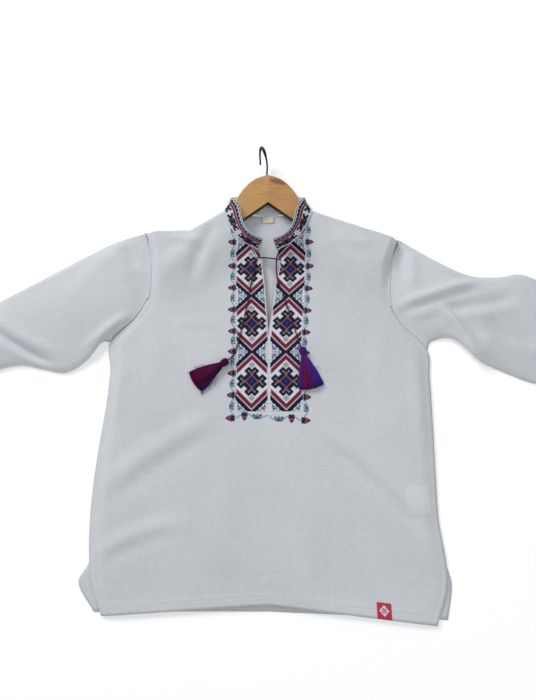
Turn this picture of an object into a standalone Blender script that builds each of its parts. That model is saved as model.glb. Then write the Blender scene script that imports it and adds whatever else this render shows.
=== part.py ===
"""Embroidered linen shirt lying face up on a wooden coat hanger.

Metres, +Z up. The shirt lies on the plane z = 0, its collar toward +Y and the
wearer's right sleeve toward -X. The origin is on the underside of the back,
at mid-body.
"""
import math

import bmesh
import bpy
from mathutils import Vector

# --- driving sizes -------------------------------------------------------
CLOTH = 0.0012            # wall of every cloth piece
GAP = 0.0003              # air between pieces that touch
SEAM_GAP = 0.0012         # air along a seam, measured in plan
AIR = 0.0055              # air between the front and the back, mid-body
HEM_AIR = 0.0016          # the same along the hem
SIDE_ROLL = 0.035         # width over which the front rises from its side seam
ARMHOLE_RISE = 0.0045     # how far the sleeve opening stands open

FOLD_Z = 0.0017           # mid-height of a sleeve's folded edge
SLEEVE_STEPS = 14         # spans along a sleeve

HANGER_Z = 0.0034         # underside of the wood
HANGER_THICK = 0.0130
HANGER_ROUND = 0.0028     # rounding of the wood's edges
WIRE = 0.0034             # hook wire diameter
HOOK_LEAN = math.radians(70)     # how far the hook is turned up out of the shirt's plane
CORD = 0.0020             # lace diameter

NECK_X = 0.0725           # half width of the neck at the shoulder seams
NECK_Y = 0.3050
BACK_NECK_Y = 0.2990      # middle of the back neck seam

# Side seams and armholes, from the hem up: left x, left y, right x, right y.
EDGE_ROWS = (
    (-0.2205, -0.3045, 0.2230, -0.3165),   # hem corner
    (-0.2375, -0.2700, 0.2400, -0.2750),
    (-0.244, -0.235, 0.243, -0.238),   # top of the side slit
    (-0.248, -0.185, 0.238, -0.185),
    (-0.248, -0.135, 0.239, -0.135),
    (-0.245, -0.080, 0.241, -0.082),
    (-0.240, -0.020, 0.243, -0.025),
    (-0.239, 0.032, 0.244, 0.022),
    (-0.243, 0.078, 0.244, 0.065),     # underarm
    (-0.207, 0.116, 0.207, 0.106),
    (-0.189, 0.150, 0.192, 0.138),
    (-0.187, 0.186, 0.192, 0.172),
    (-0.190, 0.218, 0.197, 0.203),
    (-0.196, 0.243, 0.206, 0.229),
    (-0.200, 0.256, 0.212, 0.242),
    (-0.203, 0.266, 0.217, 0.252),     # shoulder point
)
UNDERARM_ROW = 8

# Centre of the front, from the hem up: left half width, right half width, y.
# Above SLIT_ROW the two halves part, along the slit and then the neckline.
CENTRE_ROWS = (
    (0.0000, 0.0000, -0.291),
    (0.0000, 0.0000, -0.257),
    (0.0000, 0.0000, -0.222),
    (0.0000, 0.0000, -0.178),
    (0.0000, 0.0000, -0.130),
    (0.0000, 0.0000, -0.080),
    (0.0000, 0.0000, -0.025),
    (0.0000, 0.0000, 0.030),
    (0.0000, 0.0000, 0.082),           # foot of the slit
    (0.0030, 0.0070, 0.130),
    (0.0060, 0.0120, 0.172),
    (0.0095, 0.0190, 0.203),
    (0.0125, 0.0145, 0.232),           # top of the slit
    (0.0430, 0.0440, 0.2475),
    (0.0620, 0.0630, 0.2730),
    (NECK_X, NECK_X, NECK_Y),
)
SLIT_ROW = 8

# Shoulder seams: x, y. The cloth dips a little past the hanger's shoulder.
SHOULDER = (
    (-0.203, 0.266), (-0.177, 0.270), (-0.128, 0.268), (-NECK_X, NECK_Y),
    (NECK_X, NECK_Y), (0.128, 0.284), (0.180, 0.267), (0.217, 0.252),
)

# The back shows past the front at the side slits and along the hem.
BACK_SLIT_ROWS = (
    (-0.2320, -0.2995, 0.2385, -0.3095),
    (-0.2560, -0.2640, 0.2480, -0.2670),
)
BACK_HEM_Y = -0.299

# Sleeves, flat: upper edge x, y, lower edge x, y, height of the tube.
SLEEVE_LEFT = (
    (-0.203, 0.266, -0.243, 0.078, 0.0065),
    (-0.249, 0.249, -0.254, 0.075, 0.0100),
    (-0.298, 0.221, -0.274, 0.048, 0.0120),
    (-0.348, 0.190, -0.305, 0.029, 0.0130),
    (-0.398, 0.160, -0.340, 0.034, 0.0130),
    (-0.440, 0.134, -0.378, 0.040, 0.0120),
    (-0.492, 0.103, -0.425, 0.026, 0.0110),
    (-0.545, 0.070, -0.478, -0.012, 0.0100),
    (-0.598, 0.037, -0.530, -0.048, 0.0085),
)
SLEEVE_RIGHT = (
    (0.217, 0.252, 0.244, 0.065, 0.0065),
    (0.250, 0.230, 0.252, 0.079, 0.0120),
    (0.287, 0.207, 0.284, 0.082, 0.0170),
    (0.327, 0.189, 0.312, 0.050, 0.0170),
    (0.368, 0.187, 0.347, 0.034, 0.0140),
    (0.408, 0.191, 0.398, 0.013, 0.0120),
    (0.452, 0.168, 0.440, 0.010, 0.0110),
    (0.520, 0.118, 0.490, 0.000, 0.0100),
    (0.590, 0.070, 0.535, -0.028, 0.0085),
)

# Stand collar, right half from its front end to the centre back:
# seam x, seam y, top edge x, y, z.
COLLAR_ROWS = (
    (0.0135, 0.2325, 0.0075, 0.2335, 0.0430),
    (0.0280, 0.2385, 0.0185, 0.2375, 0.0440),
    (0.0430, 0.2470, 0.0290, 0.2450, 0.0440),
    (0.0560, 0.2620, 0.0365, 0.2560, 0.0430),
    (0.0645, 0.2790, 0.0415, 0.2720, 0.0400),
    (0.0700, 0.2940, 0.0465, 0.2975, 0.0330),
    (0.0720, 0.3055, 0.0560, 0.3180, 0.0240),
    (0.0650, 0.3080, 0.0620, 0.3300, 0.0085),
    (0.0540, 0.3065, 0.0555, 0.3350, 0.0018),
    (0.0400, 0.3040, 0.0420, 0.3370, 0.0018),
    (0.0180, 0.3005, 0.0200, 0.3350, 0.0018),
    (0.0000, 0.2990, 0.0000, 0.3345, 0.0018),
)
COLLAR_LAPPED = 7         # rows sewn to the front; the rest are sewn to the back

# Right half of the wooden hanger, in plan, from the foot of its centre joint.
HANGER_LOW = ((0.000, 0.317), (0.037, 0.288), (0.070, 0.263), (0.105, 0.243), (0.150, 0.223))
HANGER_END = ((0.167, 0.2205), (0.1725, 0.228), (0.168, 0.237))
HANGER_TOP = (
    (0.130, 0.255), (0.100, 0.268), (0.0760, 0.2820), (0.0570, 0.3050),
    (0.0490, 0.3270), (0.0370, 0.3460), (0.0200, 0.3615), (0.0000, 0.3690),
)

# Hook: along the stem, out from the stem.
HOOK_ROUTE = (
    (0.0004, 0.0000), (0.0070, 0.0000), (0.0140, -0.0010), (0.0220, -0.0015),
    (0.0310, 0.0010), (0.0385, 0.0075), (0.0425, 0.0165), (0.0400, 0.0255),
    (0.0320, 0.0315), (0.0215, 0.0335), (0.0110, 0.0325), (0.0030, 0.0310),
)
HOOK_X = -0.0018          # the stem stands this far from the hanger's joint

# Lace over the cloth: x, y, clearance above the front.
LACE_BAR = ((-0.0172, 0.2186, 0.0008), (-0.0075, 0.2170, 0.0030),
            (0.0085, 0.2150, 0.0036), (0.0212, 0.2142, 0.0008))
LACE_LEFT = (
    (-0.0176, 0.2158, 0.0006), (-0.0196, 0.2080, 0.0006), (-0.0220, 0.1940, 0.0006),
    (-0.0252, 0.1790, 0.0006), (-0.0286, 0.1620, 0.0006), (-0.0312, 0.1420, 0.0006),
    (-0.0352, 0.1220, 0.0006), (-0.0412, 0.0930, 0.0006), (-0.0466, 0.0700, 0.0006),
    (-0.0538, 0.0532, 0.0010), (-0.0612, 0.0458, 0.0016),
)
LACE_RIGHT = (
    (0.0172, 0.2268, 0.0006), (0.0146, 0.2205, 0.0003), (0.0134, 0.2100, -0.0012),
    (0.0133, 0.1970, -0.0010), (0.0144, 0.1860, 0.0006), (0.0168, 0.1730, 0.0006),
    (0.0232, 0.1570, 0.0006), (0.0300, 0.1330, 0.0006), (0.0400, 0.1000, 0.0006),
    (0.0476, 0.0740, 0.0010), (0.0510, 0.0650, 0.0016),
)
# Tassels: head x, y, skirt end x, y, half width of the skirt's end.
TASSEL_LEFT = (-0.0627, 0.0441, -0.1080, 0.0130, 0.0175)
TASSEL_RIGHT = (0.0519, 0.0631, 0.0640, 0.0080, 0.0185)
TASSEL_HEAD = 0.0048      # radius of the bound head
TASSEL_DEPTH = 0.0042     # half thickness of the skirt, lying down

LABEL_SIZE = (0.0200, 0.0120)
CARE_LABEL = (0.2100, -0.1560, 0.0340, 0.0360)     # x, y, width, length
TAB = (0.1540, 0.0190, 0.0200)                     # x, width, length of the folded hem tab


# --- small helpers ---------------------------------------------------------
def smoothstep(t):
    t = min(max(t, 0.0), 1.0)
    return t * t * (3.0 - 2.0 * t)


def spline(rows, t):
    """Catmull-Rom value of equal-length rows of numbers at t in 0..1."""
    last = len(rows) - 1
    place = min(max(t, 0.0), 1.0) * last
    k = min(int(place), last - 1)
    f = place - k
    p1, p2 = rows[k], rows[k + 1]
    p0 = rows[k - 1] if k > 0 else [2 * a - b for a, b in zip(p1, p2)]
    p3 = rows[k + 2] if k + 2 <= last else [2 * b - a for a, b in zip(p1, p2)]
    return [
        0.5 * (2 * b + (c - a) * f + (2 * a - 5 * b + 4 * c - d) * f * f
               + (3 * b - a - 3 * c + d) * f ** 3)
        for a, b, c, d in zip(p0, p1, p2, p3)
    ]


def along(table, x):
    """Straight interpolation of y over a table of (x, y) with rising x."""
    if x <= table[0][0]:
        return table[0][1]
    for (x0, y0), (x1, y1) in zip(table, table[1:]):
        if x <= x1:
            return y0 + (y1 - y0) * (x - x0) / (x1 - x0)
    return table[-1][1]


# --- the shape of the laid cloth -------------------------------------------
def edge_x(side, y):
    """Side seam or armhole x at height y; side is -1 (left) or 1 (right)."""
    column = 0 if side < 0 else 2
    return along([(row[column + 1], row[column]) for row in EDGE_ROWS], y)


def edge_z(side, y):
    """Underside of the front along its side seam and armhole."""
    column = 1 if side < 0 else 3
    low, high = EDGE_ROWS[UNDERARM_ROW][column], EDGE_ROWS[-1][column]
    open_part = min(max((y - low) / (high - low), 0.0), 1.0)
    return CLOTH + GAP + ARMHOLE_RISE * math.sin(math.pi * open_part)


def front_z(x, y):
    """Underside of the front: air over the back, and the hanger's arms under it."""
    side = -1 if x < 0 else 1
    inset = abs(edge_x(side, y)) - abs(x)
    air = HEM_AIR + (AIR - HEM_AIR) * smoothstep((y + 0.30) / 0.10)
    z = edge_z(side, y)
    z += (CLOTH + GAP + air - z) * smoothstep(inset / SIDE_ROLL)
    below_arm = along(HANGER_LOW, abs(x)) - y
    over_arm = smoothstep(1.0 - (below_arm - 0.004) / 0.085) * smoothstep(inset / 0.017)
    z += (HANGER_Z + HANGER_THICK + 0.0012 - z) * over_arm
    seam = shoulder_z(x)
    return seam + (z - seam) * smoothstep((along(SHOULDER, x) - y) / 0.009 + 0.02)


def shoulder_z(x):
    """Height of the shoulder seam: it rides half-way up the wood."""
    ride = smoothstep((0.172 - abs(x)) / 0.03)
    return CLOTH + GAP + 0.0060 * ride


def front_top(x, y):
    return front_z(x, y) + CLOTH


# --- building --------------------------------------------------------------
def clear_scene():
    for item in list(bpy.data.objects):
        bpy.data.objects.remove(item, do_unlink=True)
    part = bpy.data.collections.new("vyshyvanka_shirt")
    bpy.context.scene.collection.children.link(part)
    return part


PART = clear_scene()


def material(name, colour, roughness, metallic=0.0):
    mat = bpy.data.materials.new(name)
    mat.use_nodes = True
    shader = mat.node_tree.nodes["Principled BSDF"]
    shader.inputs["Base Color"].default_value = (*colour, 1.0)
    shader.inputs["Roughness"].default_value = roughness
    shader.inputs["Metallic"].default_value = metallic
    return mat


def finish_mesh(name, bm, mat, thickness=0.0, offset=1.0, sharp=35):
    """Make an object of a bmesh, with a wall if it is an open surface."""
    if not thickness:
        bmesh.ops.recalc_face_normals(bm, faces=bm.faces)
    mesh = bpy.data.meshes.new(name)
    bm.to_mesh(mesh)
    bm.free()
    mesh.materials.append(mat)
    mesh.shade_smooth()
    mesh.set_sharp_from_angle(angle=math.radians(sharp))
    item = bpy.data.objects.new(name, mesh)
    PART.objects.link(item)
    if thickness:
        wall = item.modifiers.new("Wall", "SOLIDIFY")
        wall.thickness = thickness
        wall.offset = offset
        wall.use_even_offset = False
    return item


def grid(columns, rows):
    """A unit grid whose vertices are still to be placed by their u, v."""
    bm = bmesh.new()
    bmesh.ops.create_grid(bm, x_segments=columns, y_segments=rows, size=0.5)
    bmesh.ops.translate(bm, verts=bm.verts, vec=(0.5, 0.5, 0.0))
    return bm


def sheet(name, columns, rows, place, mat, thickness=CLOTH, offset=1.0):
    bm = grid(columns, rows)
    for vert in bm.verts:
        vert.co = place(vert.co.x, vert.co.y)
    return finish_mesh(name, bm, mat, thickness, offset)


def tube(name, points, diameter, mat, resolution=2):
    data = bpy.data.curves.new(name, "CURVE")
    data.dimensions = "3D"
    data.bevel_depth = diameter / 2
    data.bevel_resolution = resolution
    data.use_fill_caps = True
    line = data.splines.new("POLY")
    line.points.add(len(points) - 1)
    for point, co in zip(line.points, points):
        point.co = (*co, 1.0)
    data.materials.append(mat)
    item = bpy.data.objects.new(name, data)
    PART.objects.link(item)
    return item


# --- front and back ----------------------------------------------------------
def body_edge(side, v, rows=EDGE_ROWS):
    left_x, left_y, right_x, right_y = spline(rows, v)
    return (left_x, left_y) if side < 0 else (right_x, right_y)


def front_place(u, v, side):
    """u runs 0..1 from the left edge to the right edge, v from the hem up."""
    across = abs(2.0 * u - 1.0)
    out_x, out_y = body_edge(side, v)
    left_half, right_half, in_y = spline(CENTRE_ROWS, v)
    half = max(left_half, 0.0) if side < 0 else max(right_half, 0.0)
    if v * (len(CENTRE_ROWS) - 1) <= SLIT_ROW:
        half = 0.0
    in_x = side * half
    x = in_x + (out_x - in_x) * across
    y = in_y + (out_y - in_y) * across
    if v == 1.0:
        y = along(SHOULDER, x)
    elif v > 0.8:
        y += (along(SHOULDER, x) - (NECK_Y + (out_y - NECK_Y) * across)) * smoothstep((v - 0.8) / 0.2)
    return Vector((x, y, front_z(x, y)))


def build_front(linen):
    rows = 2 * (len(EDGE_ROWS) - 1)
    bm = grid(20, rows)
    slit = [
        edge for edge in bm.edges
        if all(abs(v.co.x - 0.5) < 1e-4 and v.co.y > SLIT_ROW * 2 / rows - 1e-4 for v in edge.verts)
    ]
    bmesh.ops.split_edges(bm, edges=slit)
    places = {}
    for vert in bm.verts:
        face_u = sum(f.calc_center_median().x for f in vert.link_faces) / len(vert.link_faces)
        places[vert] = front_place(vert.co.x, vert.co.y, -1 if face_u < 0.5 else 1)
    for vert, co in places.items():
        vert.co = co
    return finish_mesh("front", bm, linen, CLOTH)


def back_place(u, v):
    side = -1 if u < 0.5 else 1
    across = abs(2.0 * u - 1.0)
    rows = BACK_SLIT_ROWS + EDGE_ROWS[2:]
    out_x, out_y = body_edge(side, v, rows)
    in_y = BACK_HEM_Y + (BACK_NECK_Y - BACK_HEM_Y) * v
    x = out_x * across
    y = in_y + (out_y - in_y) * across
    if v > 0.75:
        top = BACK_NECK_Y + (NECK_Y - BACK_NECK_Y) * min(abs(x) / NECK_X, 1.0) ** 2
        if abs(x) > NECK_X:
            top = along(SHOULDER, x)
        chord = BACK_NECK_Y + (EDGE_ROWS[-1][1 if side < 0 else 3] - BACK_NECK_Y) * across
        y += (top - chord) * smoothstep((v - 0.75) / 0.25)
    rise = (shoulder_z(x) - CLOTH - 2 * GAP) * smoothstep((abs(x) - 0.06) / 0.02)
    rise *= smoothstep(1.0 - (along(SHOULDER, x) - y) / 0.010)
    return Vector((x, y, rise))


# --- sleeves -----------------------------------------------------------------
def sleeve_place(table, side, u, v):
    """Outer surface of the flattened tube: u goes round it from the upper edge, v along it."""
    up_x, up_y, low_x, low_y, height = spline(table, v)
    down = 1.0 - abs(2.0 * u - 1.0)
    x = up_x + (low_x - up_x) * down
    y = up_y + (low_y - up_y) * down
    at_armhole = smoothstep(1.0 - v * (len(table) - 1) / 2.2)
    hole = UNDERARM_ROW / (len(EDGE_ROWS) - 1)
    hole_x, hole_y = body_edge(side, 1.0 - (1.0 - hole) * down)
    top_x, top_y = body_edge(side, 1.0)
    foot_x, foot_y = body_edge(side, hole)
    x += (hole_x - (top_x + (foot_x - top_x) * down)) * at_armhole
    y += (hole_y - (top_y + (foot_y - top_y) * down)) * at_armhole
    x += side * SEAM_GAP
    y += SEAM_GAP * down
    on_top = (u < 0.5) == (side < 0)
    z = FOLD_Z if min(down, 1.0 - down) < 1e-6 else 0.0
    if on_top and z == 0.0:
        seam_top = edge_z(side, hole_y) + CLOTH
        z = height * (4.0 * down * (1.0 - down)) ** 0.6 + 2 * CLOTH + GAP
        z += (seam_top - z) * smoothstep(1.0 - v * (len(table) - 1))
    return Vector((x, y, z))


def build_sleeve(name, table, side, linen):
    around = 4 * (len(EDGE_ROWS) - 1 - UNDERARM_ROW)
    bm = grid(around, SLEEVE_STEPS)
    for vert in bm.verts:
        vert.co = sleeve_place(table, side, vert.co.x, vert.co.y)
    bmesh.ops.remove_doubles(bm, verts=bm.verts, dist=1e-6)
    return finish_mesh(name, bm, linen, CLOTH, -1.0)


# --- collar ------------------------------------------------------------------
def collar_place(u, v):
    side = -1 if u < 0.5 else 1
    seam_x, seam_y, top_x, top_y, top_z = spline(COLLAR_ROWS, 1.0 - abs(2 * u - 1.0))
    row = (1.0 - abs(2 * u - 1.0)) * (len(COLLAR_ROWS) - 1)
    on_back = smoothstep(row - COLLAR_LAPPED + 1.0)
    front_seam = front_top(side * seam_x, seam_y) + 2 * GAP
    seam_z = front_seam + (CLOTH + GAP - front_seam) * on_back
    low = Vector((side * seam_x, seam_y, seam_z))
    high = Vector((side * top_x, top_y, max(top_z, CLOTH + GAP)))
    return low.lerp(high, v)


def build_label(cotton):
    half_w, length = LABEL_SIZE[0] / 2, LABEL_SIZE[1]

    def place(u, v):
        return Vector((half_w * (2 * u - 1), BACK_NECK_Y - 0.0035 - length * v, CLOTH + GAP))
    return sheet("neck_label", 2, 2, place, cotton, 0.001, -1.0)


def build_care_label(cotton):
    x0, y0, width, length = CARE_LABEL

    def place(u, v):
        return Vector((x0 + width * (u - 0.5), y0 + length * (v - 0.5), CLOTH + GAP))
    return sheet("care_label", 2, 2, place, cotton, 0.001)


def build_tab(woven):
    """Woven tab sewn over the front hem."""
    x0, width, length = TAB

    def place(u, v):
        x = x0 + width * (u - 0.5)
        y = hem_y(x) + 0.0005 + length * v
        return Vector((x, y, front_top(x, y) + GAP))
    return sheet("hem_tab", 3, 3, place, woven, 0.001)


def hem_y(x):
    out_x, out_y = body_edge(-1 if x < 0 else 1, 0.0)
    centre_y = CENTRE_ROWS[0][2]
    return centre_y + (out_y - centre_y) * x / out_x


# --- hanger --------------------------------------------------------------------
def build_hanger(side, wood):
    """One half of the hanger: its outline filled and given rounded edges."""
    low = [spline(HANGER_LOW, i / 10) for i in range(11)]
    end = [spline((HANGER_LOW[-1],) + HANGER_END + (HANGER_TOP[0],), i / 10) for i in range(1, 10)]
    top = [spline(HANGER_TOP, i / 20) for i in range(21)]
    outline = low + end + top
    name = "hanger_left" if side < 0 else "hanger_right"
    data = bpy.data.curves.new(name, "CURVE")
    data.dimensions = "2D"
    data.fill_mode = "BOTH"
    data.extrude = HANGER_THICK / 2 - HANGER_ROUND
    data.bevel_depth = HANGER_ROUND
    data.bevel_resolution = 2
    data.offset = -HANGER_ROUND
    line = data.splines.new("POLY")
    line.points.add(len(outline) - 1)
    line.use_cyclic_u = True
    for point, (x, y) in zip(line.points, outline):
        point.co = (side * (x + GAP / 2), y, 0.0, 1.0)
    data.materials.append(wood)
    item = bpy.data.objects.new(name, data)
    item.location.z = HANGER_Z + HANGER_THICK / 2
    PART.objects.link(item)
    return item


def build_hook(steel):
    out = Vector((-math.cos(HOOK_LEAN), 0.0, math.sin(HOOK_LEAN)))
    base = Vector((HOOK_X, HANGER_TOP[-1][1], HANGER_Z + HANGER_THICK / 2))
    points = []
    for i in range(41):
        stem, away = spline(HOOK_ROUTE, i / 40)
        points.append(base + Vector((0.0, stem, 0.0)) + out * away)
    return tube("hook", points, WIRE, steel, 3)


# --- lace and tassels ------------------------------------------------------------
def lace_points(route, count):
    points = []
    for i in range(count):
        x, y, lift = spline(route, i / (count - 1))
        points.append(Vector((x, y, front_top(x, y) + CORD / 2 + lift)))
    return points


def build_tassel(name, spec, thread):
    """Bound head and flattened skirt of a tassel, as one closed loft."""
    head_x, head_y, end_x, end_y, half = spec
    start = Vector((head_x, head_y, 0.0))
    axis = Vector((end_x - head_x, end_y - head_y, 0.0))
    across = Vector((-axis.y, axis.x, 0.0)).normalized()
    # along the tassel, half width, half thickness
    profile = (
        (0.00, 0.0014, 0.0014), (0.03, 0.0036, 0.0030), (0.09, TASSEL_HEAD, 0.0038),
        (0.15, 0.0040, 0.0034), (0.18, 0.0038, 0.0032), (0.26, 0.0072, 0.0040),
        (0.45, 0.0120, TASSEL_DEPTH), (0.70, half * 0.88, 0.0038), (1.00, half, 0.0026),
    )
    bm = bmesh.new()
    rings = []
    around = 14
    for step, width, depth in profile:
        middle = start + axis * step
        middle.z = front_top(middle.x, middle.y) + depth + 0.0012
        ring = []
        for k in range(around):
            angle = 2 * math.pi * k / around
            offset = across * (width * math.cos(angle)) + Vector((0, 0, depth * math.sin(angle)))
            ring.append(bm.verts.new(middle + offset))
        rings.append(ring)
    for low, high in zip(rings, rings[1:]):
        for k in range(around):
            bm.faces.new((low[k], low[(k + 1) % around], high[(k + 1) % around], high[k]))
    bm.faces.new(rings[0])
    bm.faces.new(rings[-1])
    return finish_mesh(name, bm, thread)


# --- all of it -------------------------------------------------------------------
def main():
    linen = material("white_linen", (0.80, 0.82, 0.83), 0.9)
    embroidered = material("embroidered_linen", (0.45, 0.30, 0.36), 0.85)
    cotton = material("label_cotton", (0.78, 0.74, 0.62), 0.85)
    woven = material("woven_red_tab", (0.55, 0.03, 0.08), 0.8)
    maroon = material("maroon_thread", (0.16, 0.01, 0.04), 0.6)
    purple = material("purple_thread", (0.12, 0.03, 0.20), 0.6)
    wood = material("honey_wood", (0.55, 0.30, 0.10), 0.35)
    steel = material("black_steel", (0.02, 0.02, 0.022), 0.3, 1.0)

    sheet("back", 14, 2 * (len(EDGE_ROWS) - 1), back_place, linen)
    build_front(linen)
    build_sleeve("sleeve_left", SLEEVE_LEFT, -1, linen)
    build_sleeve("sleeve_right", SLEEVE_RIGHT, 1, linen)
    sheet("collar", 44, 4, collar_place, embroidered)
    build_label(cotton)
    build_care_label(cotton)
    build_tab(woven)
    build_hanger(-1, wood)
    build_hanger(1, wood)
    build_hook(steel)
    tube("lace_bar", lace_points(LACE_BAR, 12), CORD, maroon)
    tube("lace_left", lace_points(LACE_LEFT, 36), CORD, maroon)
    tube("lace_right", lace_points(LACE_RIGHT, 32), CORD, maroon)
    build_tassel("tassel_left", TASSEL_LEFT, maroon)
    build_tassel("tassel_right", TASSEL_RIGHT, purple)


main()
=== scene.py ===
"""Vyshyvanka shirt on a coat hanger: its finished surfaces, built round the frame."""

import math
import random

import bmesh
import bpy
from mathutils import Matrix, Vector


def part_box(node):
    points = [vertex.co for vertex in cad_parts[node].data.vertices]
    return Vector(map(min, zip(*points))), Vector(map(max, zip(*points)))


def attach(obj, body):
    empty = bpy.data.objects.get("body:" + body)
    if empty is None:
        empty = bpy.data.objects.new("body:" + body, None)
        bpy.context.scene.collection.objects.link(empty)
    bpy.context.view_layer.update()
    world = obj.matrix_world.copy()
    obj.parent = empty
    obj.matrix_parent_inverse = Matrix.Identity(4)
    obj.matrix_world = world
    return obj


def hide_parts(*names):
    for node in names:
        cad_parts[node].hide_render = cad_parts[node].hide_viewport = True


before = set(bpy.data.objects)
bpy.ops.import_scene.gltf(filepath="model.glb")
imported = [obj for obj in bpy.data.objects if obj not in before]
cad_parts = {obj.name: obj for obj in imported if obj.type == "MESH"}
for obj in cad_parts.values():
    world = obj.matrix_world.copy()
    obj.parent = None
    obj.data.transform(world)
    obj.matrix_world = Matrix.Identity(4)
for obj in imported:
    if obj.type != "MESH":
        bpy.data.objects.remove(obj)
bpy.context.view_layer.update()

bl_info = {
    "name": "Vyshyvanka Shirt on a Hanger",
    "version": (1, 0, 0),
    "blender": (4, 5, 0),
    "location": "3D View > Sidebar > Shirt",
    "description": "Builds an embroidered linen shirt lying on its wooden hanger",
    "category": "Add Mesh",
}

# --- sizes shared with the frame (metres) ---------------------------------
CLOTH = 0.0012            # wall of a cloth solid
GAP = 0.0003              # between two solids at a seam
AIR = 0.0055              # under the middle of the front
HEM_AIR = 0.0016          # under the front's hem
ARMHOLE_RISE = 0.0045     # how high an armhole's seam arches
FOLD_Z = 0.0017           # middle of a sleeve's folded edge
HANGER_Z = 0.0034         # underside of the hanger
HANGER_THICK = 0.0130
NECK_X = 0.0725           # where the neck meets a shoulder
NECK_Y = 0.3050
BACK_NECK_Y = 0.2990      # middle of the back's neck edge
CORD = 0.0020             # thickness of the lace

# Side seams and armholes, from the hem up: left x, left y, right x, right y.
EDGE_ROWS = (
    (-0.2205, -0.3045, 0.2230, -0.3165), (-0.2375, -0.2700, 0.2400, -0.2750),
    (-0.244, -0.235, 0.243, -0.238), (-0.248, -0.185, 0.238, -0.185),
    (-0.248, -0.135, 0.239, -0.135), (-0.245, -0.080, 0.241, -0.082),
    (-0.240, -0.020, 0.243, -0.025), (-0.239, 0.032, 0.244, 0.022),
    (-0.243, 0.078, 0.244, 0.065), (-0.207, 0.116, 0.207, 0.106),
    (-0.189, 0.150, 0.192, 0.138), (-0.187, 0.186, 0.192, 0.172),
    (-0.190, 0.218, 0.197, 0.203), (-0.196, 0.243, 0.206, 0.229),
    (-0.200, 0.256, 0.212, 0.242), (-0.203, 0.266, 0.217, 0.252),
)
UNDERARM_ROW = 8          # the row where a side seam ends and an armhole begins
# Centre of the front, from the hem up: left half width, right half width, y.
CENTRE_ROWS = (
    (0.0000, 0.0000, -0.291), (0.0000, 0.0000, -0.257), (0.0000, 0.0000, -0.222),
    (0.0000, 0.0000, -0.178), (0.0000, 0.0000, -0.130), (0.0000, 0.0000, -0.080),
    (0.0000, 0.0000, -0.025), (0.0000, 0.0000, 0.030), (0.0000, 0.0000, 0.082),
    (0.0030, 0.0070, 0.130), (0.0060, 0.0120, 0.172), (0.0095, 0.0190, 0.203),
    (0.0125, 0.0145, 0.232), (0.0430, 0.0440, 0.2475), (0.0620, 0.0630, 0.2730),
    (NECK_X, NECK_X, NECK_Y),
)
SLIT_ROW = 8              # the row at the slit's foot
NECK_ROW = 12             # the row where the slit meets the neck seam
# Shoulder seam from left to right: x, y.
SHOULDER = (
    (-0.203, 0.266), (-0.177, 0.270), (-0.128, 0.268), (-NECK_X, NECK_Y),
    (NECK_X, NECK_Y), (0.128, 0.284), (0.180, 0.267), (0.217, 0.252),
)
# The back's own side slits, in place of the first two edge rows.
BACK_SLIT_ROWS = ((-0.2320, -0.2995, 0.2385, -0.3095), (-0.2560, -0.2640, 0.2480, -0.2670))
BACK_HEM_Y = -0.299
# Sleeves: upper edge x, y, lower edge x, y, height of the tube.
SLEEVE_LEFT = (
    (-0.203, 0.266, -0.243, 0.078, 0.0065), (-0.249, 0.249, -0.254, 0.075, 0.0100),
    (-0.298, 0.221, -0.274, 0.048, 0.0120), (-0.348, 0.190, -0.305, 0.029, 0.0130),
    (-0.398, 0.160, -0.340, 0.034, 0.0130), (-0.440, 0.134, -0.378, 0.040, 0.0120),
    (-0.492, 0.103, -0.425, 0.026, 0.0110), (-0.545, 0.070, -0.478, -0.012, 0.0100),
    (-0.598, 0.037, -0.530, -0.048, 0.0085),
)
SLEEVE_RIGHT = (
    (0.217, 0.252, 0.244, 0.065, 0.0065), (0.250, 0.230, 0.252, 0.079, 0.0120),
    (0.287, 0.207, 0.284, 0.082, 0.0170), (0.327, 0.189, 0.312, 0.050, 0.0170),
    (0.368, 0.187, 0.347, 0.034, 0.0140), (0.408, 0.191, 0.398, 0.013, 0.0120),
    (0.452, 0.168, 0.440, 0.010, 0.0110), (0.520, 0.118, 0.490, 0.000, 0.0100),
    (0.590, 0.070, 0.535, -0.028, 0.0085),
)
# Collar, right half from its front end to the centre back: seam x, y, top x, y, z.
COLLAR_ROWS = (
    (0.0135, 0.2325, 0.0075, 0.2335, 0.0430), (0.0280, 0.2385, 0.0185, 0.2375, 0.0440),
    (0.0430, 0.2470, 0.0290, 0.2450, 0.0440), (0.0560, 0.2620, 0.0365, 0.2560, 0.0430),
    (0.0645, 0.2790, 0.0415, 0.2720, 0.0400), (0.0700, 0.2940, 0.0465, 0.2975, 0.0330),
    (0.0720, 0.3055, 0.0560, 0.3180, 0.0240), (0.0650, 0.3080, 0.0620, 0.3300, 0.0085),
    (0.0540, 0.3065, 0.0555, 0.3350, 0.0018), (0.0400, 0.3040, 0.0420, 0.3370, 0.0018),
    (0.0180, 0.3005, 0.0200, 0.3350, 0.0018), (0.0000, 0.2990, 0.0000, 0.3345, 0.0018),
)
COLLAR_LAPPED = 7         # the row where the collar passes from the front to the back
HANGER_SHADE_BAND = 0.00198     # walls this near the lower edge take painted shade, for the lower wall in shadow
HANGER_RELIEF = 0.0022    # the lower wall leans this far in at the back
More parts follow.
